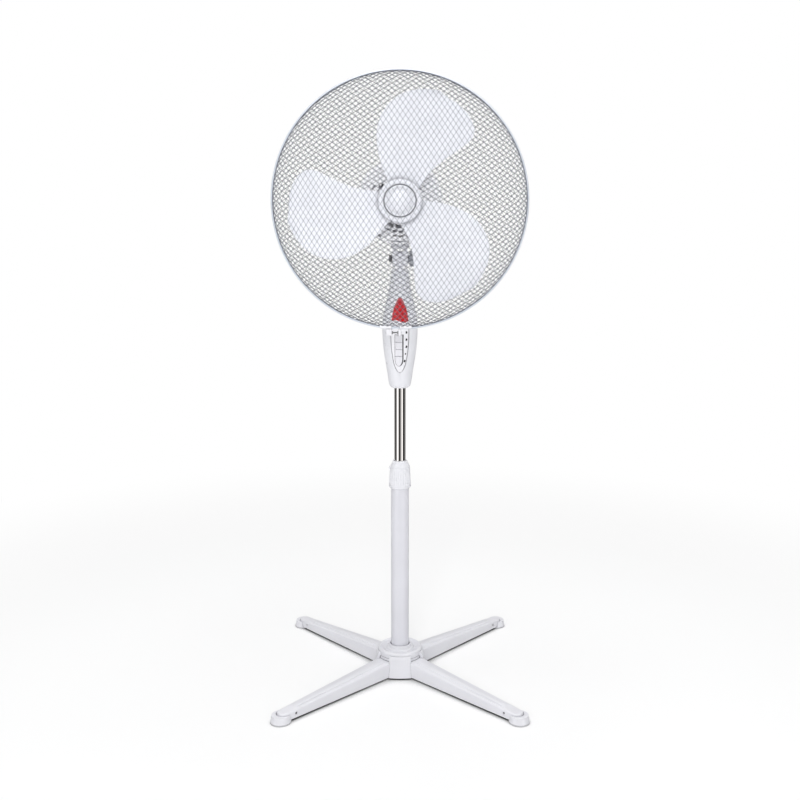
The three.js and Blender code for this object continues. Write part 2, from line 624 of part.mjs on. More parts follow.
function buildMotor() {
  const motor = new THREE.Group();
  motor.position.z = FAN_HEIGHT;
  add(motor, 'motor_front_bell', turnedY([
    [42.2, -20.2], [42.2, -40], [37, -50], [19.7, -52], [19.7, -66], [4.4, -66], [4.4, -49.5], [35, -47.5],
    [39.7, -39], [39.7, -20.2],
  ]), GREY);
  add(motor, 'motor_stator', turnedY([[25.2, -19.9], [42.2, -19.9], [42.2, 13.9], [25.2, 13.9]]), COPPER);
  add(motor, 'motor_rear_bell', turnedY([
    [42.2, 14.2], [42.2, 28], [36, 36], [9, 38], [4.4, 38], [4.4, 35.5], [34, 33.5], [39.7, 27], [39.7, 14.2],
  ]), GREY);
  add(motor, 'motor_cover', motorCover(), WHITE);
  add(motor, 'cover_screw', screwY(99, 4.2, 2, 18.2, [0, 0]), STEEL);

  const rearGuard = turnedY([
    [20.3, -52.6], [60, -52.6], ...guardProfile(64, REAR_RIM_Y, REAR_GUARD_DEPTH), [60, -54], [20.3, -54],
  ], RIM_SEGMENTS);
  add(motor, 'rear_guard', rearGuard, WIRE);
  add(motor, 'guard_lock_nut', turnedY([[20.2, -54.3], [32, -54.3], [30.5, -63], [20.2, -63]]), WHITE);
  const frontGuard = turnedY(guardProfile(0, FRONT_RIM_Y, -FRONT_GUARD_DEPTH), RIM_SEGMENTS);
  add(motor, 'front_guard', frontGuard, WIRE);
  add(motor, 'guard_clamp_ring', clampRing(), WHITE);
  add(motor, 'clamp_screw', clampScrew(), STEEL);
  return motor;
}

// ---------------------------------------------------------------- rotor
/** A blade's two edges: the angle in degrees at a share of the blade's radius. */
const LEADING_EDGE = new THREE.SplineCurve(toVectors([
  [0.19, 43], [0.45, 40.5], [0.66, 39], [0.81, 40], [0.9, 43.5], [0.95, 50], [0.985, 57], [1, 66],
]));
const TRAILING_EDGE = new THREE.SplineCurve(toVectors([
  [0.19, 121], [0.35, 117.5], [0.5, 112.7], [0.66, 106], [0.8, 98.5], [0.9, 89], [0.96, 80], [1, 70],
]));

/** One blade: a cambered plate, set out on a grid of radius and angle. */
function blade() {
  const rows = 9;
  const columns = 6;
  const geometry = new THREE.BoxGeometry(1, 1, 1, columns, rows, 1);
  const position = geometry.attributes.position;
  const thickness = 2.6;
  for (let i = 0; i < position.count; i += 1) {
    const across = position.getX(i) + 0.5;
    const outwards = position.getY(i) + 0.5;
    const leading = LEADING_EDGE.getPoint(outwards);
    const trailing = TRAILING_EDGE.getPoint(outwards);
    const radius = BLADE_RADIUS * THREE.MathUtils.lerp(leading.x, trailing.x, across);
    const angle = THREE.MathUtils.degToRad(THREE.MathUtils.lerp(leading.y, trailing.y, across));
    const pitch = 34 * (0.5 - across);
    const camber = 5 * Math.sin(Math.PI * across);
    const y = BLADE_MIDDLE_Y + pitch + camber - thickness * position.getZ(i);
    position.setXYZ(i, radius * Math.cos(angle), y, radius * Math.sin(angle));
  }
  return solidOf(geometry);
}

function fanBlade() {
  const hub = turnedY([
    [BLADE_HUB_RADIUS - 2.6, -70], [BLADE_HUB_RADIUS, -70], [BLADE_HUB_RADIUS, -108], [33.5, -112],
    [27.8, -113], [26.4, -111.4], [4.35, -111.4], [4.35, -72], [9, -72], [10, -107.6], [31.4, -107.6],
  ], 24);
  const turns = Array.from({ length: BLADE_COUNT }, (_, index) => (-360 * index) / BLADE_COUNT);
  const blades = turns.map((turn) => blade().rotate([0, turn, 0]));
  const inside = turnedY([[0, -60], [BLADE_HUB_RADIUS - 2.7, -60], [31.4, -107.5], [0, -107.5]], 24);
  const centre = turnedY([[4.35, -72], [9, -72], [10, -108], [4.35, -108]]);
  const trimmed = cut(join(...blades), inside);
  return cut(join(hub, trimmed, centre), rod('y', 4.35, -130, -60));
}

function buildRotor() {
  const rotor = new THREE.Group();
  rotor.position.z = FAN_HEIGHT;
  add(rotor, 'rotor_shaft', turnedY([
    [0, -119], [4, -119], [4, 50], [5.2, 50], [5.2, 70], [3, 70], [3, 75], [0, 75],
  ]), STEEL);
  add(rotor, 'rotor_core', turnedY([[4.3, -18], [24.8, -18], [24.8, 12], [4.3, 12]]), STEEL);
  add(rotor, 'fan_blade', fanBlade(), BLADE_WHITE);
  add(rotor, 'spinner_nut', turnedY([
    [4.35, -111.7], [25.4, -111.7], [25.4, -115], [23, -119.5], [17, -123.5], [8, -125.5], [0, -126],
    [0, -121], [4.35, -121],
  ]), BLADE_WHITE);
  return rotor;
}

// ---------------------------------------------------------------- the whole fan
const fan = new THREE.Group();
fan.add(buildBase());
add(fan, 'locking_collar', lockingCollar(), WHITE);
fan.add(buildMast(), buildKeys(), buildNeck(), buildDrive(), buildMotor(), buildRotor());

export default fan;
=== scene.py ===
"""The looks of a pedestal fan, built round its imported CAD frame.

Shapes are made in millimetres in the frame's own axes: +Z is up, the floor is at 0 and the fan faces -Y.
A shape is a pair: its points, and its faces as lists of point numbers.
"""

import math

import bmesh
import bpy
import numpy as np
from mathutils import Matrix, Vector


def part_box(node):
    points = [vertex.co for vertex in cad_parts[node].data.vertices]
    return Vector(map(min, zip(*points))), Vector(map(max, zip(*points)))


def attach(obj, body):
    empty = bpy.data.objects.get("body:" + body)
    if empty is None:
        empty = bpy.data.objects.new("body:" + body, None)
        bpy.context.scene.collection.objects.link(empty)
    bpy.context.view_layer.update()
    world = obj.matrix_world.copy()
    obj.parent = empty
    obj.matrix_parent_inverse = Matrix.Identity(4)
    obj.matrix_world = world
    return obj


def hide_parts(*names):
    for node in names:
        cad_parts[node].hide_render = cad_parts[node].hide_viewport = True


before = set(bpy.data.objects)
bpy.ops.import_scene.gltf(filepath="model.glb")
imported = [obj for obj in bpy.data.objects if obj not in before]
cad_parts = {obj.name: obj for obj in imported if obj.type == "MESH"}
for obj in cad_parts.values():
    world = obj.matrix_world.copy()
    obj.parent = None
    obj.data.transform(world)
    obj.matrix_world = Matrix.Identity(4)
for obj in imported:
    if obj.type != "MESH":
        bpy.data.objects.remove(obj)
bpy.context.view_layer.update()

MM = 0.001


# ---- places taken from the frame
def box_mm(node):
    """The lowest and highest corners of a CAD node, in millimetres."""
    low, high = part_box(node)
    return low / MM, high / MM


def middle_of(node):
    low, high = box_mm(node)
    return (low + high) / 2


shell_low, shell_high = box_mm("control_box_front")
front_low, front_high = box_mm("front_guard")
rear_low, rear_high = box_mm("rear_guard")
band_low, band_high = box_mm("guard_clamp_ring")
cover_low, cover_high = box_mm("motor_cover")

FAN_Z = middle_of("rotor_shaft").z
TILT_Z = middle_of("tilt_bolt").z
BAND_RADIUS = (band_high.x - band_low.x) / 2
GUARD_RADIUS = BAND_RADIUS - 4.8
COVER_RADIUS = (cover_high.x - cover_low.x) / 2
FOOT_OFFSET = middle_of("foot_cap_front_right").x
FAN_AXIS = (0, 0, FAN_Z)


# ---- outlines and curves
def smooth(value, start, end):
    """0 before start and 1 after end, with a soft change between them."""
    share = np.clip((value - start) / (end - start), 0, 1)
    return share * share * (3 - 2 * share)


def eased(count):
    """Shares from 0 to 1, closer together near both ends."""
    return 0.5 - 0.5 * np.cos(np.linspace(0, math.pi, count + 1))


def filleted(corners, radius=1.0, steps=4):
    """A closed outline with its corners rounded. A corner is (x, y) or (x, y, its own radius)."""
    rounded = []
    for index, corner in enumerate(corners):
        here = np.array(corner[:2], float)
        reach = corner[2] if len(corner) > 2 else radius
        before = np.array(corners[index - 1][:2], float) - here
        after = np.array(corners[(index + 1) % len(corners)][:2], float) - here
        shorter = min(np.linalg.norm(before), np.linalg.norm(after))
        before /= np.linalg.norm(before)
        after /= np.linalg.norm(after)
        half = math.acos(np.clip(before @ after, -1, 1)) / 2
        if reach <= 0 or half > 1.55:
            rounded.append(tuple(here))
            continue
        inset = min(reach / math.tan(half), 0.48 * shorter)
        start, end = here + before * inset, here + after * inset
        for t in np.linspace(0, 1, steps + 1):
            rounded.append(tuple((1 - t) ** 2 * start + 2 * t * (1 - t) * here + t * t * end))
    return rounded


def through(knots, shares):
    """Points at shares from 0 to 1 of a uniform Catmull-Rom curve through its knots."""
    knots = np.array(knots, float)
    padded = np.vstack([knots[0], knots, knots[-1]])
    places = np.clip(np.asarray(shares, float), 0, 1) * (len(knots) - 1)
    first = np.minimum(places.astype(int), len(knots) - 2)
    t = (places - first)[:, None]
    a, b, c, d = (padded[first + k] for k in range(4))
    bend = (2 * a - 5 * b + 4 * c - d) * t**2 + (3 * b - 3 * c + d - a) * t**3
    return 0.5 * (2 * b + (c - a) * t + bend)


# ---- shapes
def on_axis(points, axis):
    """Turns points whose third number runs along an axis into the frame's X, Y and Z."""
    order = {"Z": [0, 1, 2], "Y": [0, 2, 1], "X": [2, 0, 1]}[axis]
    return np.asarray(points, float)[:, order]


def turned(profile, axis="Z", centre=(0, 0, 0), segments=96, form=None):
    """A solid of revolution of a closed profile. Its pairs are (radius, place along the axis)."""
    points, rings = [], []
    for radius, height in profile:
        steps = 1 if radius < 1e-6 else segments
        rings.append([len(points) + step for step in range(steps)])
        for step in range(steps):
            angle = 2 * math.pi * step / segments
            reach = form(radius, height, angle) if form and steps > 1 else radius
            points.append((reach * math.cos(angle), reach * math.sin(angle), height))
    faces = []
    for ring, following in zip(rings, rings[1:] + rings[:1]):
        if len(ring) == 1 and len(following) == 1:
            continue
        for step in range(segments):
            ahead = (step + 1) % segments
            corners = [ring[step % len(ring)], ring[ahead % len(ring)]]
            corners += [following[ahead % len(following)], following[step % len(following)]]
            faces.append(list(dict.fromkeys(corners)))
    return on_axis(points, axis) + np.array(centre, float), faces


def fluted(depth, count, power, beyond):
    """A form for turned() that cuts flutes into what lies beyond a radius."""
    def form(radius, height, angle):
        return radius - depth * (0.5 + 0.5 * math.cos(count * angle)) ** power if radius > beyond else radius
    return form


def rod(radius, start, end, axis="Z", centre=(0, 0, 0), segments=32):
    """A plain round bar along an axis."""
    return turned([(0, start), (radius, start), (radius, end), (0, end)], axis, centre, segments)


def loft(sections):
    """Closed loops of points joined in order, with both ends capped."""
    count = len(sections[0])
    faces = []
    for layer in range(len(sections) - 1):
        for side in range(count):
            ahead = (side + 1) % count
            low, high = layer * count, (layer + 1) * count
            faces.append([low + side, low + ahead, high + ahead, high + side])
    faces.append(list(range(count)))
    faces.append([(len(sections) - 1) * count + side for side in range(count)])
    return np.vstack([np.asarray(s, float) for s in sections]), faces


def prism(outline, start, end, axis="Y"):
    """An outline pushed along an axis from start to end. Its pairs are the two other coordinates."""
    points, faces = loft([[(x, y, depth) for x, y in outline] for depth in (start, end)])
    return on_axis(points, axis), faces


def block(low, high, radius=0.0):
    """A box between two corners, with its edges rounded."""
    mesh = bmesh.new()
    bmesh.ops.create_cube(mesh, size=1)
    low, high = np.array(low, float), np.array(high, float)
    for vertex in mesh.verts:
        vertex.co = Vector((low + high) / 2 + np.array(vertex.co) * (high - low))
    if radius:
        bmesh.ops.bevel(mesh, geom=mesh.edges[:], offset=radius, segments=3, profile=0.5, affect="EDGES")
    mesh.verts.index_update()
    shape = np.array([v.co for v in mesh.verts]), [[v.index for v in f.verts] for f in mesh.faces]
    mesh.free()
    return shape


def together(*shapes):
    """Several shapes as one, each still its own closed skin."""
    points, faces, count = [], [], 0
    for shape_points, shape_faces in shapes:
        points.append(np.asarray(shape_points, float))
        faces += [[number + count for number in face] for face in shape_faces]
        count += len(shape_points)
    return np.vstack(points), faces


def moved(shape, offset=(0, 0, 0), turn=0.0, axis="Z", pivot=(0, 0, 0)):
    """A shape turned by an angle in degrees round a line through a pivot, then shifted."""
    points, faces = shape
    first, second = {"Z": (0, 1), "Y": (2, 0), "X": (1, 2)}[axis]
    c, s = math.cos(math.radians(turn)), math.sin(math.radians(turn))
    local = np.array(points, float) - np.array(pivot, float)
    result = local.copy()
    result[:, first] = c * local[:, first] - s * local[:, second]
    result[:, second] = s * local[:, first] + c * local[:, second]
    return result + np.array(pivot, float) + np.array(offset, float), faces


def round_fan(shape, turns):
    """Copies of a shape turned about the fan's axis by angles in degrees."""
    return [moved(shape, turn=turn, axis="Y", pivot=FAN_AXIS) for turn in turns]


def two_skins(rows, columns):
    """The faces of a grid of points and, turned the other way, of a second grid behind it."""
    width, count = columns + 1, (columns + 1) * (rows + 1)
    faces = []
    for row in range(rows):
        for column in range(columns):
            a = row * width + column
            quad = [a, a + 1, a + 1 + width, a + width]
            faces += [quad, [number + count for number in reversed(quad)]]
    return faces


def wire(path, radius, normals):
    """A closed thin wire along a path. A normal at each point keeps the section from twisting."""
    path, normals = np.asarray(path, float), np.asarray(normals, float)
    along = np.gradient(path, axis=0)
    along /= np.linalg.norm(along, axis=1)[:, None]
    across = np.cross(along, normals)
    across /= np.linalg.norm(across, axis=1)[:, None]
    upright = np.cross(across, along)
    angles = np.arange(5) * 2 * math.pi / 5
    ring = np.cos(angles)[None, :, None] * across[:, None] + np.sin(angles)[None, :, None] * upright[:, None]
    return loft(list(path[:, None] + radius * ring))


def placed(name, data):
    """A new object in the scene."""
    made = bpy.data.objects.new(name, data)
    bpy.context.scene.collection.objects.link(made)
    return made


def solid_object(name, shape, scale=1.0, weld=0.0):
    """A Blender object of a shape, with its faces pointing out."""
    points, faces = shape
    mesh = bpy.data.meshes.new(name)
    mesh.from_pydata((np.asarray(points) * scale).tolist(), [], faces)
    work = bmesh.new()
    work.from_mesh(mesh)
    if weld:
        bmesh.ops.remove_doubles(work, verts=work.verts[:], dist=weld * scale)
    bmesh.ops.recalc_face_normals(work, faces=work.faces[:])
    work.to_mesh(mesh)
    work.free()
    return placed(name, mesh)


def shape_of(mesh):
    return np.array([v.co for v in mesh.vertices]), [list(p.vertices) for p in mesh.polygons]


def discard(made):
    mesh = made.data
    bpy.data.objects.remove(made)
    bpy.data.meshes.remove(mesh)


def welded(shape, distance):
    """A shape whose touching points are made one."""
    merged = solid_object("welded", shape, weld=distance)
    result = shape_of(merged.data)
    discard(merged)
    return result


def carved(shape, *tools, operation="DIFFERENCE"):
    """A shape with each tool cut from it, joined to it or kept in common with it."""
    target = solid_object("target", shape)
    cutters = [solid_object("cutter", tool) for tool in tools]
    for cutter in cutters:
        modifier = target.modifiers.new("carve", "BOOLEAN")
        modifier.operation = operation
        modifier.solver = "MANIFOLD"
        modifier.object = cutter
    result = shape_of(target.evaluated_get(bpy.context.evaluated_depsgraph_get()).to_mesh())
    for leftover in (target, *cutters):
        discard(leftover)
    return result


def piece(name, shape, body, material, stands_for=None, sharp=35, weld=0.0):
    """One finished piece of the fan, which rides on a body and stands for a CAD node."""
    made = solid_object(name, shape, MM, weld)
    made.data.shade_smooth()
    made.data.set_sharp_from_angle(angle=math.radians(sharp))
    made.data.materials.append(material)
    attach(made, body)
    if stands_for:
        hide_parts(stands_for)
    return made


# ---- materials
def set_inputs(tree, made, **inputs):
    """Sets or links a node's sockets. An underscore in a name stands for a space."""
    for name, value in inputs.items():
        socket = made.inputs[name.replace("_", " ")]
        if isinstance(value, bpy.types.NodeSocket):
            tree.links.new(value, socket)
        else:
            socket.default_value = value


def node(tree, kind, **inputs):
    made = tree.nodes.new("ShaderNode" + kind)
    set_inputs(tree, made, **inputs)
    return made


def painted_crease_shade(tree, distance, **inputs):
    """Ambient occlusion: how open a place is, up to a distance in metres. Its colour output is that colour
    darkened where the place is closed in: painted shade.
    """
    made = node(tree, "AmbientOcclusion", Distance=distance, **inputs)
    made.samples = 8
    return made


def mixed(tree, factor, first, second):
    made = node(tree, "MixShader", Fac=factor)
    tree.links.new(first, made.inputs[1])
    tree.links.new(second, made.inputs[2])
    return made.outputs["Shader"]


def node_material(name):
    material = bpy.data.materials.new(name)
    material.use_nodes = True
    return material, material.node_tree


def finish(
    name, colour, roughness, mottle=0.03, cloud_scale=14, grain=0.1, grain_scale=1100,
    stretch=(1, 1, 1), metallic=0.0, uneven=0.05, coat=0.0, glow=0.0,
    painted_shade_reach=0.0, sheen_off=False,
):
    """A surface with soft clouds in its colour, uneven gloss, a fine grain and, if asked, painted shade that
    darkens its colour in creases and next to other parts.
    """
    material, tree = node_material(name)
    place = node(tree, "TexCoord").outputs["Object"]
    place = node(tree, "Mapping", Vector=place, Scale=stretch).outputs["Vector"]

    def noise(scale, detail):
        return node(tree, "TexNoise", Vector=place, Scale=scale, Detail=detail).outputs["Fac"]

    ramp = node(tree, "ValToRGB", Fac=noise(cloud_scale, 4))
    low, high = ramp.color_ramp.elements
    low.position, high.position = 0.35, 0.65
    low.color = [channel * (1 - mottle) for channel in colour] + [1]
    high.color = [min(1, channel * (1 + mottle / 2)) for channel in colour] + [1]
    tint = ramp.outputs["Color"]
    # painted shade: occlusion darkens the colour in creases and next to other parts
    if painted_shade_reach:
        tint = painted_crease_shade(tree, painted_shade_reach, Color=tint).outputs["Color"]
    gloss = node(
        tree, "MapRange", Value=noise(cloud_scale * 5, 3), From_Min=0.3, From_Max=0.7,
        To_Min=max(0.02, roughness - uneven), To_Max=roughness + uneven,
    )
    bump = node(tree, "Bump", Height=noise(grain_scale, 2), Strength=grain, Distance=0.0002)
    set_inputs(
        tree, tree.nodes["Principled BSDF"], Base_Color=tint, Roughness=gloss.outputs["Result"],
        Normal=bump.outputs["Normal"], Metallic=metallic, Specular_IOR_Level=0.1 if sheen_off else 0.5,
        Coat_Weight=coat, Coat_Roughness=0.12, Subsurface_Weight=glow, Subsurface_Radius=(0.004,) * 3,
    )
    return material


WHITE = finish("white_plastic_moulding", (0.80, 0.805, 0.845), 0.32)
# painted shade: the panel's colour darkens in its creases
PANEL = finish("panel_plastic_moulding", (0.86, 0.855, 0.895), 0.4, grain=0.2, painted_shade_reach=0.003)
# partly its own white and partly painted light: a brighter white than the other mouldings, lifting the plate
# where the blades shade it
PLATE = finish("plate_plastic_and_painted_light", (0.95, 0.95, 0.97), 0.45, mottle=0.02)
KEYS = finish("key_plastic_moulding", (0.79, 0.785, 0.83), 0.36)
# painted shade: the blades' colour darkens next to the hub and in its groove
BLADES = finish(
    "blade_plastic_moulding", (0.825, 0.835, 0.89), 0.28, mottle=0.02, cloud_scale=9, painted_shade_reach=0.008,
)
# painted shade: the base's colour darkens in its tightest creases
BASE = finish(
    "base_plastic_moulding", (0.76, 0.76, 0.80), 0.36, grain=0.16, grain_scale=700, painted_shade_reach=0.001,
)
POLE = finish("pole_powder_coat", (0.72, 0.72, 0.77), 0.34, grain=0.22, grain_scale=600)
RIM = finish("rim_powder_coat", (0.64, 0.68, 0.75), 0.3)
# painted shade: the white guard wires get dark colours for the shade they show, the rear net's darker than
# the front's
FRONT_WIRE = finish("front_wire_painted_shade", (0.17, 0.18, 0.22), 0.4, mottle=0.1, cloud_scale=60)
REAR_WIRE = finish(
    "rear_wire_painted_shade", (0.03, 0.032, 0.038), 0.5, mottle=0.12, cloud_scale=60, sheen_off=True,
)
CHROME = finish(
    "drawn_chrome", (0.83, 0.81, 0.80), 0.06, mottle=0.04, cloud_scale=30, grain=0.05, grain_scale=900,
    stretch=(1, 1, 0.02), metallic=1.0, uneven=0.03,
)
STEEL = finish("zinc_plated_steel", (0.56, 0.56, 0.55), 0.32, mottle=0.12, grain=0.2, metallic=1.0)
ALLOY = finish(
    "die_cast_alloy", (0.48, 0.49, 0.50), 0.5, mottle=0.1, grain=0.35, grain_scale=500, metallic=0.8,
)
WINDING = finish(
    "motor_winding", (0.36, 0.15, 0.07), 0.45, mottle=0.25, cloud_scale=200, grain=0.5, grain_scale=400,
    stretch=(1, 0.1, 1), metallic=0.5,
)
NYLON = finish("natural_nylon", (0.66, 0.64, 0.57), 0.45, mottle=0.05, glow=0.1)
DARK = finish("dark_plastic_moulding", (0.045, 0.048, 0.055), 0.42, mottle=0.15, grain=0.3)
GREY = finish("grey_plastic_moulding", (0.36, 0.37, 0.40), 0.42, mottle=0.08, grain=0.25)
RED = finish("red_plastic_moulding", (0.62, 0.004, 0.008), 0.3, mottle=0.06, cloud_scale=30, coat=0.4)
# print for the speed dots, and painted shade for the black strip in the key slot
PRINT_AND_SHADE = finish("print_and_painted_shade", (0.008, 0.008, 0.01), 0.6, mottle=0.1, sheen_off=True)


# ---- cross base
LEG_END = FOOT_OFFSET * math.sqrt(2) + 5.3
LEG_TIP_HALF = 11.3  # half its width
LEG_HUB_HALF = 18.0
LEG_TIP_CENTRE = LEG_END - LEG_TIP_HALF
LEG_BOTTOM = 3.4
LEG_HUB_TOP = 28.0
LEG_TIP_TOP = 15.0
LEG_WALL = 2.0
RIB_START, RIB_END = (46, 52), (238, 248)
HUB_RADIUS = 39.2
PANEL_REACH = 47.2


def leg_half_width(station):
    reach = abs(station)
    width = np.interp(reach, [LEG_HUB_HALF, LEG_TIP_CENTRE], [LEG_HUB_HALF, LEG_TIP_HALF])
    over = max(0.0, reach - LEG_TIP_CENTRE)
    return math.sqrt(max(0.0, width**2 - over**2 * (width / LEG_TIP_HALF) ** 2))


def leg_section(station, inset=0.0):
    """One slice across a leg: upright sides, soft shoulders and a low rib along the middle."""
    half = max(0.4, leg_half_width(station) - inset)
    top = np.interp(abs(station), [HUB_RADIUS, LEG_END], [LEG_HUB_TOP, LEG_TIP_TOP]) - inset
    bottom = LEG_BOTTOM if inset == 0 else LEG_BOTTOM - 2
    shoulder = min(2.6, 0.6 * half)
    rib = 1.5 * smooth(abs(station), *RIB_START) * (1 - smooth(abs(station), *RIB_END))
    rib_half = 0.42 * half
    rise = [(0.0, rib), (0.84, rib), (0.93, rib * 0.8), (1.0, rib * 0.2), (1.07, 0.0)]
    side = [(half, bottom), (half - 0.35, top - shoulder)]
    for angle in (22.5, 45, 67.5, 90):
        turn = math.radians(angle)
        across = half - 0.35 - shoulder * (1 - math.cos(turn))
        side.append((across, top - shoulder * (1 - math.sin(turn))))
    side += [(rib_half * across, top + height) for across, height in reversed(rise)]
    other = [(-across, height) for across, height in reversed(side[:-1])]
    return [(station, across, height) for across, height in side + other]


def leg_bar(notch_is_above):
    arc = np.sin(np.linspace(0, math.pi / 2, 12)) * LEG_TIP_HALF * 0.9995
    rib_rises, rib_falls = range(RIB_START[0], RIB_START[1] + 1, 2), (230, 238, 240, 243, 246, 248, 256)
    outwards = [0, 18, 30, HUB_RADIUS, *rib_rises, 60, *range(90, 211, 30), *rib_falls]
    half = outwards + list(LEG_TIP_CENTRE + arc)
    stations = [-s for s in reversed(half[1:])] + half
    outside = loft([leg_section(s) for s in stations])
    hollow = loft([leg_section(s, LEG_WALL) for s in stations if abs(s) < LEG_TIP_CENTRE + 2])
    reach = LEG_HUB_HALF + 0.6
    low, high = (14, 40) if notch_is_above else (0, 14.3)
    tools = [hollow, block((-reach, -40, low), (reach, 40, high)), rod(4.5, 0, 40)]
    for side in (-1, 1):
        for end in (-1, 1):
            points, faces = rod(1.9, side * 4, side * 24, "Y", segments=20)
            tools.append((points * (1, 1, 1.3) + (end * (LEG_TIP_CENTRE - 17), 0, 10.4), faces))
    tools += [moved(hub_panel(0.55), turn=turn) for turn in (45, 135, 225, 315)]
    return carved(outside, *tools)


def foot_cap():
    """A shoe round a leg's end. Its centre is at the origin and the leg comes in from -X."""
    body = turned(filleted([
        (0, 0, 0), (17, 0, 0.8), (17, 2.4, 1), (16.4, 4.2, 0.8), (15.1, 12.5, 0.6), (12.9, 12.5, 0.3),
        (0, 12.5, 0),
    ]))
    room = LEG_TIP_HALF + 1.1
    angles = np.linspace(-math.pi / 2, math.pi / 2, 33)
    end = [(-6 + (room + 0.6) * math.cos(a), room * math.sin(a)) for a in angles]
    pocket = [(-30, -room - 1.2), *end, (-30, room + 1.2)]
    seam = turned([(16.2, 1.5), (18, 1.5), (18, 1.9), (16.2, 1.9)])
    return carved(body, prism(pocket, LEG_BOTTOM - 0.4, 40, "Z"), seam)


def hub_cover():
    """The stepped round cover over the crossing, with a bowed panel between each pair of legs."""
    dome = turned(filleted([
        (17.3, 44.5, 0.2), (17.3, 48.6, 0.4), (18.3, 49.4, 0.6), (19.5, 48.4, 1), (20.6, 44.2, 1),
        (23.4, 43.2, 0.8), (24.9, 39.7, 1), (27, 39.5, 1.5), (33.5, 43.6, 3), (36.2, 44.3, 1.2),
        (38.7, 42.6, 1), (HUB_RADIUS, 40, 1), (HUB_RADIUS, 34, 0.2), (38, 33.7, 0.1), (38, 33, 0.1),
        (HUB_RADIUS, 32.8, 0.3), (HUB_RADIUS, 28.6, 0.4), (36.8, 28.6, 0.3), (36.8, 35.6, 0.5),
        (28, 36.4, 1), (22, 38, 1), (19.4, 44.5, 0.5),
    ]), segments=144)
    return carved(dome, *(moved(hub_panel(), turn=turn) for turn in (0, 90, 180, 270)), operation="UNION")


def hub_panel(grow=0.0):
    """The front panel of the skirt: bowed, leaning in, a little wider at its foot and crisp at its edges."""
    sections = []
    for share in (0, 0.2, 0.4, 0.6, 0.8, 0.86, 0.92, 0.96, 1):
        height = LEG_BOTTOM - 0.6 + share * (39.6 - LEG_BOTTOM) - (4 if grow else 0)
        half = 20.7 - 1.9 * share + grow
        outline = []
        for across in np.linspace(-1, 1, 25):
            soften = 0.9 * smooth(abs(across), 0.93, 1.0)
            reach = PANEL_REACH - 6.0 * share - 1.4 * smooth(share, 0.85, 1.0) + grow - soften
            place = across * half
            outline.append((place, place**2 / 200 - reach, height))
        back = -33.4 if share > 0.8 else -36
        sections.append(outline + [(half - 0.4, back, height), (-half + 0.4, back, height)])
    return loft(sections)


def make_base():
    for level, turn in (("lower", 45), ("upper", -45)):
        bar = moved(leg_bar(level == "lower"), turn=turn)
        piece(f"{level}_leg_pair", bar, "base", BASE, f"leg_bar_{level}")
    corners = {"front_left": (-1, -1), "front_right": (1, -1), "back_left": (-1, 1), "back_right": (1, 1)}
    for corner, (side, depth) in corners.items():
        turn = math.degrees(math.atan2(depth, side))
        cap = moved(foot_cap(), (side * FOOT_OFFSET, depth * FOOT_OFFSET, 0), turn)
        piece(f"foot_shoe_{corner}", cap, "base", BASE, f"foot_cap_{corner}")
    piece("hub_dome", hub_cover(), "base", BASE, "base_hub_cover", sharp=40)


# ---- pole, collar and tube
def pipe(node_name, wall, soft):
    """A tube in place of a CAD node, with its rims a little rounded."""
    low, high = box_mm(node_name)
    outer = (high.x - low.x) / 2
    bore = outer - wall
    return turned(filleted([(bore, low.z), (outer, low.z), (outer, high.z), (bore, high.z)], soft))


def make_pole():
    piece("pole_tube", pipe("lower_pole", 1.2, 0.3), "base", POLE, "lower_pole")
    piece("chrome_tube", pipe("inner_tube", 1, 0.25), "mast", CHROME, "inner_tube")


def make_collar():
    low, high = (corner.z for corner in box_mm("locking_collar"))
    bore = 16.4

    def grip(radius, height, angle):
        zone = smooth(height, low + 6, low + 9) * (1 - smooth(height, high - 20, high - 16))
        return fluted(0.65 * zone, 26, 3, 17)(radius, height, angle)

    rows = [(19.3 - 1.5 * share, low + 6 + share * (high - low - 21)) for share in np.linspace(0, 1, 14)]
    foot = filleted([(bore, low), (17.6, low, 0.6), (19.5, low + 2.4, 1.0), (19.5, low + 4.4, 0.4)])
    head = filleted([
        (17.6, high - 13, 0.5), (16.9, high - 12.4, 0.2), (16.9, high - 11.4, 0.2), (17.5, high - 11, 0.5),
        (13.6, high - 4, 1.5), (12.4, high, 0.7), (10.6, high, 0.3), (10.6, high - 5), (14, high - 9),
        (bore, high - 17, 0.4),
    ])
    sleeve = turned(foot + rows + head, segments=208, form=grip)
    pointer = loft([
        [(-16.2, -2, 366), (-16.2, 2, 366), (-16.2, 2, 374.5), (-16.2, -2, 374.5)],
        [(-19.9, -1.4, 370.2), (-19.9, 1.4, 370.2), (-19.4, 1.4, 373.2), (-19.4, -1.4, 373.2)],
    ])
    sleeve = carved(sleeve, pointer, operation="UNION")
    piece("locking_sleeve", sleeve, "collar", WHITE, "locking_collar")


# ---- control box
BOX_BOTTOM = shell_low.z - 2.4
BOX_TOP = shell_high.z
BOX_DEPTH_RATIO = 1.08
BOX_WALL = 2.2
BOX_KNOTS = [
    (14.6, BOX_BOTTOM), (18.2, 519.5), (20.4, 530), (23.1, 548), (26.4, 568), (29.3, 591), (30.7, 617),
    (28.8, 642), (23, 670), (17.5, 698), (13.6, BOX_TOP),
]
BOX_SIDE = through(BOX_KNOTS, np.linspace(0, 1, 161))
KEY_LEFT, KEY_RIGHT, KEY_TOP, KEY_PITCH = -8.6, 4.2, 610.9, 12.4
KEY_POINT = KEY_TOP - 4 * KEY_PITCH - 5.0
KEY_DEPTH = 5.2
PANEL_BOTTOM, PANEL_TOP = 544.4, 626.0
BADGE_BOTTOM, BADGE_TOP = 626.6, 674.4
INLET_Z = 556
SCREW_HEIGHTS = {"lower": 577, "upper": 655}


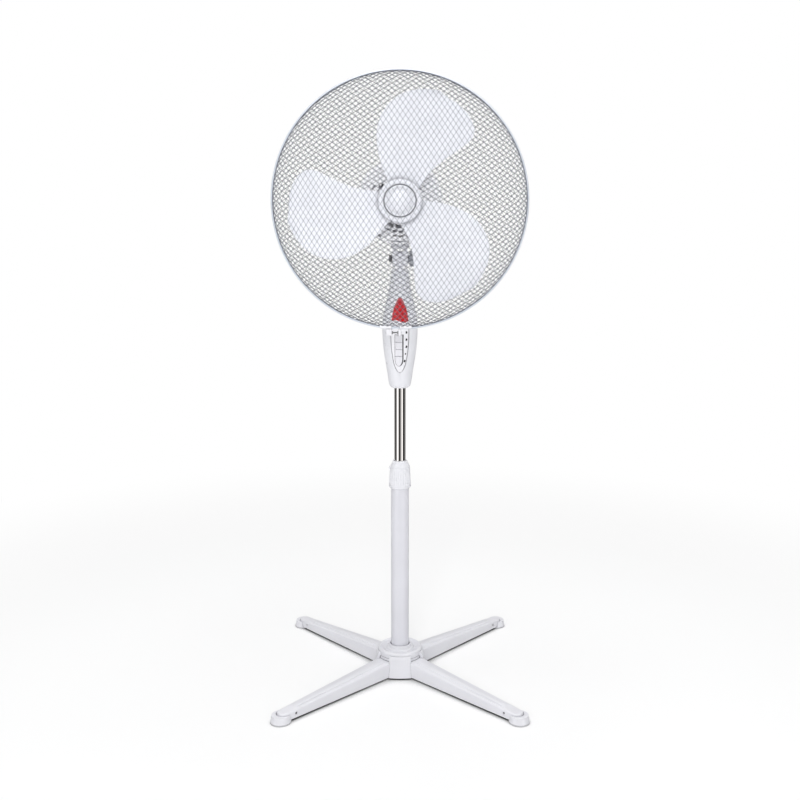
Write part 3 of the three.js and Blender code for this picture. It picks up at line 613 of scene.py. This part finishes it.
def box_front(across, height):
    """The box's front surface: Y at a place across it and a height."""
    half = np.interp(height, BOX_SIDE[:, 1], BOX_SIDE[:, 0])
    return -BOX_DEPTH_RATIO * np.sqrt(np.maximum(half**2 - across**2, 0.01))


def box_form(inset, bottom, top):
    """The box's outer form, drawn in by an inset."""
    side = [(r - inset, min(max(z, bottom), top)) for r, z in BOX_SIDE[::2]]
    side[0], side[-1] = (side[0][0], bottom), (side[-1][0], top)
    points, faces = turned([(0, bottom), *side, (0, top)], segments=144)
    return points * np.array([1, BOX_DEPTH_RATIO, 1]), faces


PANEL_KNOTS = [
    (0.3, PANEL_BOTTOM), (3, 545.7), (5.4, 548.6), (7.6, 552.8), (9.6, 558.4), (11.4, 566.2), (13, 575.4),
    (14.3, 586.4), (15.2, 598.4), (15.6, 611), (15.7, PANEL_TOP),
]
PANEL_SIDE = through(PANEL_KNOTS, np.linspace(0, 1, 91))


def panel_edges(height):
    """The left and right edges of the tongue-shaped key panel at a height."""
    half = np.interp(height, PANEL_SIDE[:, 1], PANEL_SIDE[:, 0])
    return -0.3 - half, -0.3 + half


def badge_edges(height):
    """The edges of the plain red insert: a pointed arch."""
    rise = np.clip((height - BADGE_BOTTOM) / (BADGE_TOP + 0.1 - BADGE_BOTTOM), 0, 1)
    half = 14.4 * (1 - rise**2.3) ** 0.78
    return -half, half


def key_edges(height):
    """The edges of the key column, which ends in a rounded point."""
    rise = np.clip((height - KEY_POINT) / 13, 0, 1)
    half = (KEY_RIGHT - KEY_LEFT) / 2 * np.sqrt(1 - (1 - rise) ** 2.0)
    middle = (KEY_LEFT + KEY_RIGHT) / 2
    return middle - half, middle + half


def outline_of(edges, bottom, top, grow):
    """A closed outline in X and Z between two edges, grown all round."""
    levels = bottom + (top - bottom) * (1 - np.cos(np.linspace(0, math.pi / 2, 40)))
    left, right = np.array([edges(height) for height in levels]).T
    levels[0], levels[-1] = bottom - grow, top + grow
    return [*zip(right + grow, levels), *reversed(list(zip(left - grow, levels)))]


def inlay(edges, bottom, top, proud, depth, soft=1.2, drop=0.8, rows=40, columns=4, sink=None):
    """A plate that follows the box's front between two edges, with a soft rim and a flat back."""
    front, back = [], []
    for height in bottom + (top - bottom) * eased(rows):
        left, right = edges(height)
        for share in eased(columns):
            across = left + (right - left) * share
            rim = min(across - left, right - across, height - bottom, top - height)
            lift = proud - drop * (1 - smooth(rim, 0, soft)) ** 2
            lift += sink(across, height) if sink else 0
            face = box_front(across, height)
            front.append((across, face - lift, height))
            back.append((across, face + depth, height))
    width = columns + 1
    faces = two_skins(rows, columns)
    rim = list(range(width)) + [row * width + columns for row in range(1, rows + 1)]
    rim += [rows * width + column for column in range(columns - 1, -1, -1)]
    rim += [row * width for row in range(rows - 1, 0, -1)]
    for a, b in zip(rim, rim[1:] + rim[:1]):
        faces.append([a, b, b + len(front), a + len(front)])
    return np.array(front + back), faces


def make_box_shells():
    hollow = box_form(BOX_WALL, BOX_BOTTOM + 2.5, BOX_TOP + 1)
    whole = carved(box_form(0, BOX_BOTTOM, BOX_TOP), hollow, rod(10.6, 500, 530, segments=64))
    panel_window = prism(outline_of(panel_edges, PANEL_BOTTOM, PANEL_TOP, 0.4), -60, -5)
    badge_window = prism(outline_of(badge_edges, BADGE_BOTTOM + 0.4, BADGE_TOP, 0.25), -60, -5)
    front = carved(whole, block((-60, -0.2, 0), (60, 60, 1000)), panel_window, badge_window)
    piece("box_front_shell", front, "mast", WHITE, "control_box_front")

    wells = [rod(4.6, 25, 60, "Y", (0, 0, height)) for height in SCREW_HEIGHTS.values()]
    inlet = rod(5.7, 10, 60, "Y", (0, 0, INLET_Z))
    screw_hole = rod(2.9, 10, 60, "Y", (0, 0, 536), 24)
    rear = carved(whole, block((-60, -60, 0), (60, 0.25, 1000)), inlet, screw_hole, *wells)
    piece("box_rear_shell", rear, "mast", WHITE, "control_box_rear")


def make_panel():
    def sunk(across, height):
        """The panel's right side lies a little deeper than its left side."""
        return -0.7 * smooth(across, 2, 12)

    plate = inlay(
        panel_edges, PANEL_BOTTOM + 0.1, PANEL_TOP, 0.0, 3.2, drop=1.0, rows=70, columns=44, sink=sunk,
    )
    opening = outline_of(key_edges, KEY_POINT, KEY_TOP, 0.5)
    slot_side = [(x + 1.3 if x > (KEY_LEFT + KEY_RIGHT) / 2 else x, z) for x, z in opening]
    plate = carved(plate, prism(slot_side, -60, -5))
    piece("key_panel", plate, "mast", PANEL, "control_panel")

    def slot_edges(height):
        right = key_edges(height)[1]
        return right + 0.2, right + 2.0

    # painted shade: a black strip set in the slot beside the keys, standing for the dark gap there
    slot_painted_shade = inlay(slot_edges, KEY_POINT + 1, KEY_TOP, -0.4, 2.6, soft=0.2, drop=0.1)
    dots_and_shade = [slot_painted_shade]
    for index in range(5):
        height = KEY_TOP + 4 - index * KEY_PITCH
        across = 10.4 - 3.2 * smooth(index, 2, 4.4)
        radius = 1.4 if index == 3 else 2.1
        surface = box_front(across, height) - sunk(across, height)
        profile = filleted([(0, 0, 0), (radius, 0, 0.1), (radius, 0.5, 0), (0, 0.5, 0)])
        dots_and_shade.append(turned(profile, "Y", (across, surface - 0.3, height), 24))
    piece("speed_dots_and_slot_shade", together(*dots_and_shade), "mast", PRINT_AND_SHADE)


def make_keys():
    for index, name in enumerate(("off", "low", "medium", "high")):
        top = KEY_TOP - index * KEY_PITCH - 0.3
        bottom = KEY_TOP - (index + 1) * KEY_PITCH + 0.3 if index < 3 else KEY_POINT + 0.1

        def scooped(across, height, middle=(top + bottom) / 2):
            """A shallow finger rest, with the key leaning out towards its foot."""
            return 0.5 * (middle - height) / KEY_PITCH - 0.35 * math.exp(-(((height - middle) / 4) ** 2))

        shape = inlay(key_edges, bottom, top, 1.5, KEY_DEPTH, 1.3, 1.1, rows=22, columns=22, sink=scooped)
        piece(f"speed_key_{name}", shape, f"key_{name}", KEYS, f"key_{name}", weld=1e-4)


def make_badge():
    def swell(across, height):
        return 0.5 * (1 - (across / 14.4) ** 2)

    plate = inlay(badge_edges, BADGE_BOTTOM + 0.5, BADGE_TOP - 0.1, 0.5, 3, rows=50, columns=36, sink=swell)
    crest = [(x, 634.0 + 2.2 * math.sin(-0.225 * (x + 0.5))) for x in np.linspace(-17, 17, 35)]
    below = prism([(17, 615), *reversed(crest), (-17, 615)], -60, 0)
    piece("red_insert", carved(plate, below), "mast", RED, "badge_insert")
    foot = carved(moved(plate, (0, 0.35, 0)), prism([(17, 700), *reversed(crest), (-17, 700)], -60, 0))
    piece("insert_foot", foot, "mast", WHITE)


def make_box_fittings():
    inlet = turned(filleted([
        (2.8, 17), (5.3, 17), (5.3, 30), (7.4, 31, 0.8), (7.4, 33.6, 0.8), (5.6, 34.2), (5.4, 35.2),
        (4.9, 35.4), (4.9, 36.2), (4.6, 36.4), (4.4, 38, 0.5), (2.8, 38, 0.3),
    ], 0.2), "Y", (0, 0, INLET_Z), 48)
    piece("flex_inlet", inlet, "mast", DARK, "cord_inlet")
    for name, height in SCREW_HEIGHTS.items():
        node = f"box_screw_{name}"
        face = box_mm(node)[1].y
        piece(f"shell_{node}", cross_screw(face, 4, height), "mast", STEEL, node)


def cross_screw(face, radius, height):
    """A pan-head screw along Y with a cross recess, its head's face at a given Y."""
    head = filleted([(0, face, 0), (radius, face, 1.2), (radius, face - 2.2, 0.2), (2, face - 2.2, 0)])
    body = turned([*head, (2, face - 14), (0, face - 16)], "Y", (0, 0, height), 40)
    arms = ((2.3, 0.45), (0.45, 2.3))
    return carved(body, *(block((-a, face - 1.3, height - b), (a, face + 1, height + b)) for a, b in arms))


# ---- neck and knobs
def make_neck():
    """The fork on the tilt bolt, and the round seat of the oscillation pivot over it."""
    seat = turned(filleted([
        (0, TILT_Z + 17, 0), (12.6, TILT_Z + 17, 2), (15.2, TILT_Z + 21, 2), (16, TILT_Z + 26, 2),
        (16, TILT_Z + 38, 0.8), (0, TILT_Z + 38, 0),
    ]))
    arc = [(14 * math.cos(a), TILT_Z + 14 * math.sin(a)) for a in np.linspace(math.pi, 2 * math.pi, 33)]
    outline = arc + [(12.6, TILT_Z + 12), (11.6, TILT_Z + 21), (-11.6, TILT_Z + 21), (-12.6, TILT_Z + 12)]
    ears = [prism(outline, inner, inner + 6.8, "X") for inner in (-13.2, 6.4)]
    lug = block((10, 6, TILT_Z + 33), (32, 26, TILT_Z + 37), 1.2)
    body = carved(seat, *ears, lug, operation="UNION")
    bores = [
        rod(8.3, TILT_Z + 20, TILT_Z + 39, segments=48),
        rod(3.3, -20, 20, "X", (0, 0, TILT_Z)),
    ]
    piece("neck_fork", carved(body, *bores), "neck", WHITE, "tilt_neck")


def make_knobs():
    def lobed(radius, height, angle):
        return radius * (1 + 0.085 * math.cos(6 * angle)) if radius > 9 else radius

    knob = turned(filleted([
        (3.3, 13.3, 0), (6, 13.3, 0.4), (6, 16.4, 0.4), (12.2, 16.4, 1.2), (13.8, 19, 1.4), (13.8, 25.5, 1.6),
        (12, 28, 1.2), (8, 28, 0.8), (7, 27.2, 0.4), (0, 27.2, 0), (0, 25, 0), (3.3, 25, 0),
    ]), "X", (0, 0, TILT_Z), 96, lobed)
    piece("clamp_knob_grip", knob, "clamp_knob", GREY, "tilt_knob")

    centre = middle_of("oscillation_knob")
    low, high = (corner.z for corner in box_mm("oscillation_knob"))
    dial = turned(filleted([
        (0, low, 0), (3.2, low, 0.3), (3.2, high - 15, 0.5), (7.4, high - 15, 0.6), (8.2, high - 13, 0.8),
        (6.7, high - 7, 2), (7.7, high - 2.2, 0.8), (6.6, high, 1), (0, high, 0),
    ]), "Z", (centre.x, centre.y, 0), 80, fluted(0.35, 20, 1, 6.5))
    piece("selector_dial", dial, "selector", WHITE, "oscillation_knob")


# ---- motor cover
def slot_outline(half_width, low, high, soft):
    return filleted([(-half_width, low), (half_width, low), (half_width, high), (-half_width, high)], soft)


def make_motor_cover():
    low, high = cover_low.y, cover_high.y
    outer, groove, inner = COVER_RADIUS, COVER_RADIUS - 0.9, COVER_RADIUS - 2.0
    outside = [
        (outer - 1.2, low, 0.5), (outer, low + 6, 0.8), (outer, low + 44, 0.3), (groove, low + 44.4, 0.2),
        (groove, low + 45.6, 0.2), (outer, low + 46, 0.3), (outer, 46, 12), (67.5, 72, 12), (54, 89, 12),
        (30, 95.2, 3), (28.5, 94.4, 0.8), (26.5, 94.8, 0.8), (2.4, high, 0.3),
    ]
    inside = [(2.4, high - 2.2, 0.2), (23.4, 92.6, 1), (52.6, 86.6, 10), (65.3, 70.6, 10)]
    inside += [(inner, 46, 8), (inner, low + 4, 1), (inner - 1.2, low, 0.3)]
    shell = turned(filleted(outside + inside, steps=6), "Y", FAN_AXIS, 144)
    tools = [
        block((-34, -22, FAN_Z - 80), (42, 84, FAN_Z - 36), 3),
        rod(4.4, 40, 80, "Z", (-17, 60, FAN_Z)),
    ]
    back_bar = moved(prism(slot_outline(1.6, 34, 56, 1.5), 70, 110), FAN_AXIS)
    side_bar = prism(slot_outline(1.5, 16, 40, 1.4), FAN_Z + 60, FAN_Z + 80, "Z")
    tools += round_fan(back_bar, range(0, 360, 15))
    tools += round_fan(side_bar, (*range(40, 141, 10), *range(220, 321, 10)))
    piece("motor_housing", carved(shell, *tools), "head", WHITE, "motor_cover", sharp=40)
    face = box_mm("cover_screw")[1].y
    piece("cover_screw_head", cross_screw(face, 4.2, FAN_Z), "head", STEEL, "cover_screw")


# ---- guards
FRONT_CELL = (8.7, 13.0)  # a front diamond's width and height
REAR_CELL = (13.2, 8.4)
PLATE_RADIUS = 70.5
VENTS_FROM = 130  # degrees from the top, towards +X
# Each ring of vents: its radius, the degrees between vents, half a vent's width and height, the last angle.
VENT_RINGS = (
    (41, 18, 4.6, 3, 316), (49.5, 12, 3.8, 1.8, 304), (57, 12, 4.2, 1.4, 262), (66.2, 9, 4.2, 1.5, 240),
)


def dome_depth(radius):
    """How far a dome stands out at a radius, as a share of its whole depth."""
    return np.sqrt(np.maximum(1 - (np.asarray(radius) / GUARD_RADIUS) ** 3, 0))


def net(cell, rim_y, depth, radius, hole=0.0):
    """A wire net of diamond cells pressed over a dome: straight wires laid along its surface."""
    radii = GUARD_RADIUS * np.sin(np.linspace(0, math.pi / 2, 400))
    stretches = np.hypot(np.diff(radii), np.diff(depth * dome_depth(radii)))
    lengths = np.append(0, np.cumsum(stretches))
    reach = lengths[-1] - 0.6
    width, height = cell
    spacing = width * height / math.hypot(width, height)
    wires = []
    for side in (-1, 1):
        direction = np.array([side * width, height]) / math.hypot(width, height)
        normal = np.array([direction[1], -direction[0]])
        for number in range(-int(reach / spacing), int(reach / spacing) + 1):
            offset = number * spacing
            end = math.sqrt(max(0.0, reach**2 - offset**2))
            start = math.sqrt(max(0.0, hole**2 - offset**2))
            if end - start < 4:
                continue
            for first, last in [(-end, -start), (start, end)] if start else [(-end, end)]:
                steps = max(3, int((last - first) / 7) + 1)
                flat = offset * normal + np.linspace(first, last, steps)[:, None] * direction
                span = np.maximum(np.linalg.norm(flat, axis=1), 1e-6)
                radial = flat / span[:, None]
                place = np.interp(span, lengths, radii)
                drop = depth * dome_depth(place)
                path = np.column_stack([radial[:, 0] * place, rim_y + drop, FAN_Z + radial[:, 1] * place])
                slope = -depth * 1.5 * place**2 / GUARD_RADIUS**3 / np.maximum(dome_depth(place), 0.02)
                facing = np.column_stack([-slope * radial[:, 0], np.ones(steps), -slope * radial[:, 1]])
                wires.append(wire(path, radius, facing))
    return together(*wires)


def rim_hoop(y):
    """The round wire at a net's rim."""
    radius, thickness = GUARD_RADIUS + 0.9, 0.75
    angles = np.arange(0, 8) * math.pi / 4
    section = [(radius + thickness * math.cos(a), y + thickness * math.sin(a)) for a in angles]
    return turned(section, "Y", FAN_AXIS, 160)


def rear_plate():
    """The pressed plate at the middle of the rear net, with rings of vents."""
    front = rear_high.y - 0.8
    ridge, rolled = front + 1.2, PLATE_RADIUS - 1.2
    disc = turned(filleted([
        (20.3, front, 0.2), (37, front, 0.8), (39, ridge, 0.8), (58, ridge, 0.8), (60, front, 0.8),
        (PLATE_RADIUS - 3, front, 1), (PLATE_RADIUS, ridge, 0.8), (PLATE_RADIUS, front + 2.8, 0.3),
        (rolled, front + 2.8, 0.3), (rolled, ridge + 1, 0.5), (PLATE_RADIUS - 3, front + 1, 1),
        (60, front + 1, 0.8), (58, ridge + 1, 0.8), (39, ridge + 1, 0.8), (37, front + 0.8, 0.8),
        (20.3, front + 0.8, 0.2),
    ]), "Y", FAN_AXIS, 144)
    vents = []
    for radius, step, half_width, half_height, last in VENT_RINGS:
        outline = slot_outline(half_width, radius - half_height, radius + half_height, 1.4)
        bar = moved(prism(outline, -70, -40), FAN_AXIS)
        vents += round_fan(bar, range(VENTS_FROM, last, step))
    return carved(disc, together(*vents))


def make_guards():
    front = net(FRONT_CELL, front_high.y, front_low.y - front_high.y, 0.34)
    front = together(front, rim_hoop(front_high.y - 0.8))
    front_net = piece("front_wire_net", front, "head", FRONT_WIRE, "front_guard")
    rear = net(REAR_CELL, rear_low.y, rear_high.y - rear_low.y - 1.2, 0.44, hole=21.5)
    rear = together(rear, rim_hoop(rear_low.y + 0.8))
    rear_net = piece("rear_wire_net", rear, "head", REAR_WIRE, "rear_guard")
    for thin in (front_net, rear_net):
        thin.visible_shadow = False
        thin.visible_diffuse = False
    piece("rear_guard_plate", rear_plate(), "head", PLATE)

    low, high = box_mm("guard_lock_nut")
    outer = (high.x - low.x) / 2
    nut = turned(filleted([
        (20.2, high.y), (outer, high.y), (outer - 1.5, low.y), (24, low.y), (23, low.y + 2),
        (20.2, low.y + 2),
    ], 0.8), "Y", FAN_AXIS, 144, fluted(1, 12, 2, 28))
    piece("guard_nut", nut, "head", WHITE, "guard_lock_nut")


def make_clamp():
    """The rolled band round both rims. It is split near the bottom and drawn together by a screw."""
    outer = BAND_RADIUS - 2.0
    bottom = FAN_Z - outer
    middle = middle_of("guard_clamp_ring").y
    section = filleted([
        (outer, middle + 5, 1.2), (outer, middle - 5, 1.2), (outer - 2.2, middle - 7.4, 0.8),
        (outer - 2.8, middle - 6.6, 0.3), (outer - 1.2, middle - 4.4, 0.6), (outer - 1.2, middle + 4.4, 0.6),
        (outer - 2.8, middle + 6.6, 0.3), (outer - 2.2, middle + 7.4, 0.8),
    ])
    split, _, screw_z = middle_of("clamp_screw")
    half_gap = 4.6
    turns = np.linspace((split + half_gap) / outer, 2 * math.pi + (split - half_gap) / outer, 241)
    band = loft([[(r * math.sin(t), y, FAN_Z - r * math.cos(t)) for r, y in section] for t in turns])
    ends = []
    for rail_ends, lug_ends in (((-26, -6.4), (-16, -6.4)), ((6.4, 26), (4.4, 9))):
        near, far = (split + reach for reach in rail_ends)
        rail = block((near, middle - 10.5, bottom + 1.8), (far, middle - 4, bottom + 6), 1.2)
        near, far = (split + reach for reach in lug_ends)
        lug = block((near, middle - 6.5, screw_z - 4.6), (far, middle + 6, bottom + 3), 2.0)
        ends.append(carved(rail, lug, operation="UNION"))
    hole = rod(1.7, split - 20, split + 20, "X", (0, middle, screw_z), 24)
    low, high = (split - 6.2, middle - 8.2, bottom + 1.4), (split + 6.2, middle + 5.5, bottom + 5.4)
    band = together(band, block(low, high, 0.8))
    piece("rim_band", band, "head", RIM, "guard_clamp_ring")
    piece("rim_clip", carved(together(*ends), hole), "head", PANEL)

    def hexed(radius, height, angle):
        flat = math.cos(math.pi / 6) / math.cos((angle % (math.pi / 3)) - math.pi / 6)
        return radius * flat if radius > 2.5 else radius

    screw = turned(filleted([
        (0, split - 16.6, 0), (1.6, split - 16.6, 0.3), (1.6, split - 8, 0), (1.3, split - 7.6, 0.2),
        (1.3, split - 6.4, 0), (2.7, split - 6.4, 0.3), (2.7, split - 4.4, 0.3), (1.1, split - 4.4, 0),
        (1.1, split + 2.6, 0), (2.7, split + 2.6, 0.3), (2.7, split + 4.4, 0.3), (1.3, split + 4.4, 0),
        (1.3, split + 9.6, 0.3), (0, split + 9.6, 0),
    ]), "X", (0, middle, screw_z), 48, hexed)
    piece("clamp_bolt", screw, "head", STEEL, "clamp_screw")


# ---- blades
BLADE_RADIUS = 183.0
BLADE_MIDDLE_Y = -100.0
BLADE_THICKNESS = 2.4
# The blades' edges: a share of their radius, and an angle in degrees from +X towards +Z.
LEADING_EDGE = [
    (0.185, 33), (0.28, 40.5), (0.38, 43.4), (0.5, 43.2), (0.66, 41.2), (0.79, 40.2), (0.88, 41.8),
    (0.94, 46.6), (0.98, 54), (1, 65),
]
TRAILING_EDGE = [
    (0.185, 121.5), (0.27, 119), (0.44, 115), (0.6, 110), (0.74, 103.5), (0.86, 95), (0.93, 87),
    (0.965, 80.5), (0.99, 74), (1, 69.5),
]


def blade(turn):
    """One cambered blade with rounded edges; its root is inside the hub's wall."""
    columns, rows = 30, 54
    across = eased(columns)
    outwards = np.sin(np.linspace(0, math.pi / 2, rows + 1))
    edges = through(LEADING_EDGE, outwards), through(TRAILING_EDGE, outwards)
    front, back = [], []
    for share, leading, trailing in zip(outwards, *edges):
        reach, angle = (leading + (trailing - leading) * across[:, None]).T
        radii, angles = BLADE_RADIUS * reach, np.radians(angle + turn)
        chord = radii * math.radians(trailing[1] - leading[1])
        rim = np.minimum(np.minimum(across, 1 - across) * chord, (1 - share) * BLADE_RADIUS * 1.6)
        half = BLADE_THICKNESS / 2 * np.sqrt(1 - (1 - np.clip(rim / 1.6, 0, 1)) ** 2)
        out_there = smooth(share, 0.05, 0.6)
        pitch = (19 + 15 * out_there) * (0.5 - across) + 6 * (1 - out_there)
        middle = BLADE_MIDDLE_Y + pitch + (3.5 + 3.0 * share) * np.sin(math.pi * across)
        for skin, y in ((front, middle - half), (back, middle + half)):
            skin.append(np.column_stack([radii * np.cos(angles), y, FAN_Z + radii * np.sin(angles)]))
    count = (columns + 1) * (rows + 1)
    root = [[column, column + 1, column + 1 + count, column + count] for column in range(columns)]
    return np.vstack(front + back), two_skins(rows, columns) + root


def make_rotor():
    hub_outer = 35.4
    back, face = -70, -113
    hub = turned(filleted([
        (hub_outer - 2.6, back, 0.4), (hub_outer, back, 0.4), (hub_outer, face + 9, 0),
        (hub_outer - 1.4, face + 2.5, 3),
        (31.2, face - 0.6, 2.4), (27, face + 0.8, 1.2), (25.6, face + 2.6, 0.4), (4.35, face + 2.6, 0),
        (4.35, back - 2, 0), (9, back - 2, 0.5), (10, face + 5.4, 2), (31, face + 5.4, 2),
    ], steps=6), "Y", FAN_AXIS, 144)
    blades = [welded(blade(-120 * index), 1e-3) for index in range(3)]
    fan = carved(hub, *blades, operation="UNION")
    core = turned([(0, -60), (32.7, -60), (31.0, face + 4.4), (0, face + 4.4)], "Y", FAN_AXIS, 96)
    keep = turned([(0, -130), (10, -130), (9, -60), (0, -60)], "Y", FAN_AXIS, 48)
    fan = carved(fan, carved(core, keep))
    piece("blade_set", fan, "rotor", BLADES, "fan_blade", sharp=50)

    low, high = box_mm("spinner_nut")
    cap = turned(filleted([
        (4.35, high.y + 3, 0), (24.6, high.y + 3, 0.3), (25.1, high.y - 1.4, 1), (23.2, high.y - 3.2, 1.2),
        (19.4, high.y - 2.2, 2), (15.5, high.y - 7.4, 5), (8, low.y + 0.8, 7), (0, low.y, 0),
        (0, low.y + 4, 0), (4.35, low.y + 4, 0),
    ], steps=6), "Y", FAN_AXIS, 128)
    piece("spinner_cap", cap, "rotor", BLADES, "spinner_nut", sharp=50)


# ---- CAD nodes that stay
STAYING = (
    (STEEL, "pole_flange base_bolt tilt_bolt tube_set_screw pivot_pin rotor_shaft rotor_core clutch_shaft"),
    (STEEL, "crank_disc crank_link"),
    (NYLON, "pole_bush tube_end_plug tube_socket oscillation_bush worm_wheel crank_gear"),
    (ALLOY, "gearbox_case gearbox_lid motor_front_bell motor_rear_bell"),
    (WINDING, "motor_stator"), (DARK, "switch_block"), (WHITE, "stand_knuckle"),
)


def dress_cad_nodes():
    for material, names in STAYING:
        for name in names.split():
            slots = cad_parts[name].data.materials
            slots.clear()
            slots.append(material)


# ---- studio
CAMERA_DISTANCE = 1686.3
CAMERA_HEIGHT = 792.4
CAMERA_PITCH = 6.327  # degrees below level
CAMERA_LENS = 43.81
CAMERA_SHIFT = -0.08


def make_camera():
    data = bpy.data.cameras.new("camera")
    data.lens = CAMERA_LENS
    data.sensor_width = 36
    data.shift_y = CAMERA_SHIFT
    camera = placed("camera", data)
    camera.location = (0, -CAMERA_DISTANCE * MM, CAMERA_HEIGHT * MM)
    camera.rotation_euler = (math.radians(90 - CAMERA_PITCH), 0, 0)
    bpy.context.scene.camera = camera


def make_floor():
    """A pale floor that fades into the white of the studio away from the fan, its colour darkened under and
    round the fan by painted contact shadow.
    """
    size = 30
    mesh = bpy.data.meshes.new("floor")
    corners = [(-size, -size, 0), (size, -size, 0), (size, size, 0), (-size, size, 0)]
    mesh.from_pydata(corners, [], [(0, 1, 2, 3)])
    floor = placed("floor", mesh)
    material, tree = node_material("pale_floor")
    # painted shadow: occlusion turns the floor's colour dark under the legs and round the fan
    shadow = node(tree, "ValToRGB", Fac=painted_crease_shade(tree, 0.035).outputs["AO"])
    dark, light = shadow.color_ramp.elements
    dark.position, light.position = 0.12, 0.75
    dark.color, light.color = (0.01, 0.01, 0.01, 1), (0.93, 0.93, 0.93, 1)
    shader = tree.nodes["Principled BSDF"]
    set_inputs(tree, shader, Base_Color=shadow.outputs["Color"], Roughness=0.8, Specular_IOR_Level=0.2)
    length = node(tree, "VectorMath")
    length.operation = "LENGTH"
    tree.links.new(node(tree, "TexCoord").outputs["Object"], length.inputs[0])
    fade = node(tree, "MapRange", Value=length.outputs["Value"], From_Min=0.5, From_Max=1.6)
    fade.interpolation_type = "SMOOTHSTEP"
    bright = node(tree, "Emission", Color=(1, 1, 1, 1), Strength=1.0)
    seen = mixed(tree, fade.outputs["Result"], shader.outputs["BSDF"], bright.outputs["Emission"])
    set_inputs(tree, tree.nodes["Material Output"], Surface=seen)
    mesh.materials.append(material)
    floor.visible_glossy = False


# Brightness of the studio round the fan: degrees from the front towards +X, and the level seen in gloss.
STUDIO_BANDS = [
    (-134, 0.3), (-98, 0.03), (-76, 0.04), (-64, 1.3), (-40, 1.6), (-30, 0.6), (-17, 0), (-3, 0), (8, 0.3),
    (30, 0.62), (37, 1.4), (56, 1.3), (64, 0), (88, 0), (102, 0.12), (134, 0.36),
]
BEHIND = (0.34, 0.335, 0.33, 1)  # the colour straight behind the fan


def make_world():
    """Even light for the surfaces, white behind the fan, and soft boxes between dark flags for the gloss."""
    world = bpy.data.worlds.new("studio")
    bpy.context.scene.world = world
    world.use_nodes = True
    tree = world.node_tree
    tree.nodes.clear()

    def math_node(operation, *values):
        made = node(tree, "Math")
        made.operation = operation
        for socket, value in zip(made.inputs, values):
            if isinstance(value, float):
                socket.default_value = value
            else:
                tree.links.new(value, socket)
        return made.outputs[0]

    def shade(colour, strength):
        return node(tree, "Background", Color=colour, Strength=strength).outputs["Background"]

    parts = node(tree, "SeparateXYZ", Vector=node(tree, "TexCoord").outputs["Generated"]).outputs
    around = math_node("ARCTAN2", parts["X"], math_node("MULTIPLY", parts["Y"], -1.0))
    bands = node(tree, "ValToRGB", Fac=math_node("MULTIPLY_ADD", around, 1 / (2 * math.pi), 0.5))
    ramp = bands.color_ramp
    for angle, level in STUDIO_BANDS:
        element = ramp.elements.new((angle + 180) / 360)
        element.color = (level, level * 0.985, level * 0.97, 1)
    ramp.elements[0].color = ramp.elements[-1].color = BEHIND

    white = (1, 1, 1, 1)
    ray = node(tree, "LightPath").outputs
    seen = mixed(tree, ray["Is Glossy Ray"], shade(white, 0.53), shade(bands.outputs["Color"], 1.0))
    seen = mixed(tree, ray["Is Camera Ray"], seen, shade(white, 1.0))
    node(tree, "OutputWorld", Surface=seen)


def soft_box(name, place, target, size, power, glossy=True):
    data = bpy.data.lights.new(name, "AREA")
    data.shape = "SQUARE"
    data.size = size
    data.energy = power
    light = placed(name, data)
    light.location = place
    aim = Vector(target) - Vector(place)
    light.rotation_euler = aim.to_track_quat("-Z", "Y").to_euler()
    light.visible_camera = False
    light.visible_glossy = glossy


def make_lights():
    soft_box("key_light", (-1.9, -2.3, 2.3), (0, 0, 0.6), 1.6, 8)
    soft_box("fill_light", (2.1, -2.2, 1.6), (0, 0, 0.6), 1.6, 3.5)
    soft_box("front_light", (-0.2, -3.2, 1.5), (0, 0, 0.7), 0.9, 32, glossy=False)
    soft_box("top_light", (0.1, 0.2, 3.0), (0, 0, 0), 2.4, 46)


# ---- the whole scene
bpy.context.scene.view_settings.view_transform = "Standard"
make_camera()
make_world()
make_lights()
make_floor()

dress_cad_nodes()
make_base()
make_pole()
make_collar()
make_box_shells()
make_panel()
make_keys()
make_badge()
make_box_fittings()
make_neck()
make_knobs()
make_motor_cover()
make_guards()
make_clamp()
make_rotor()
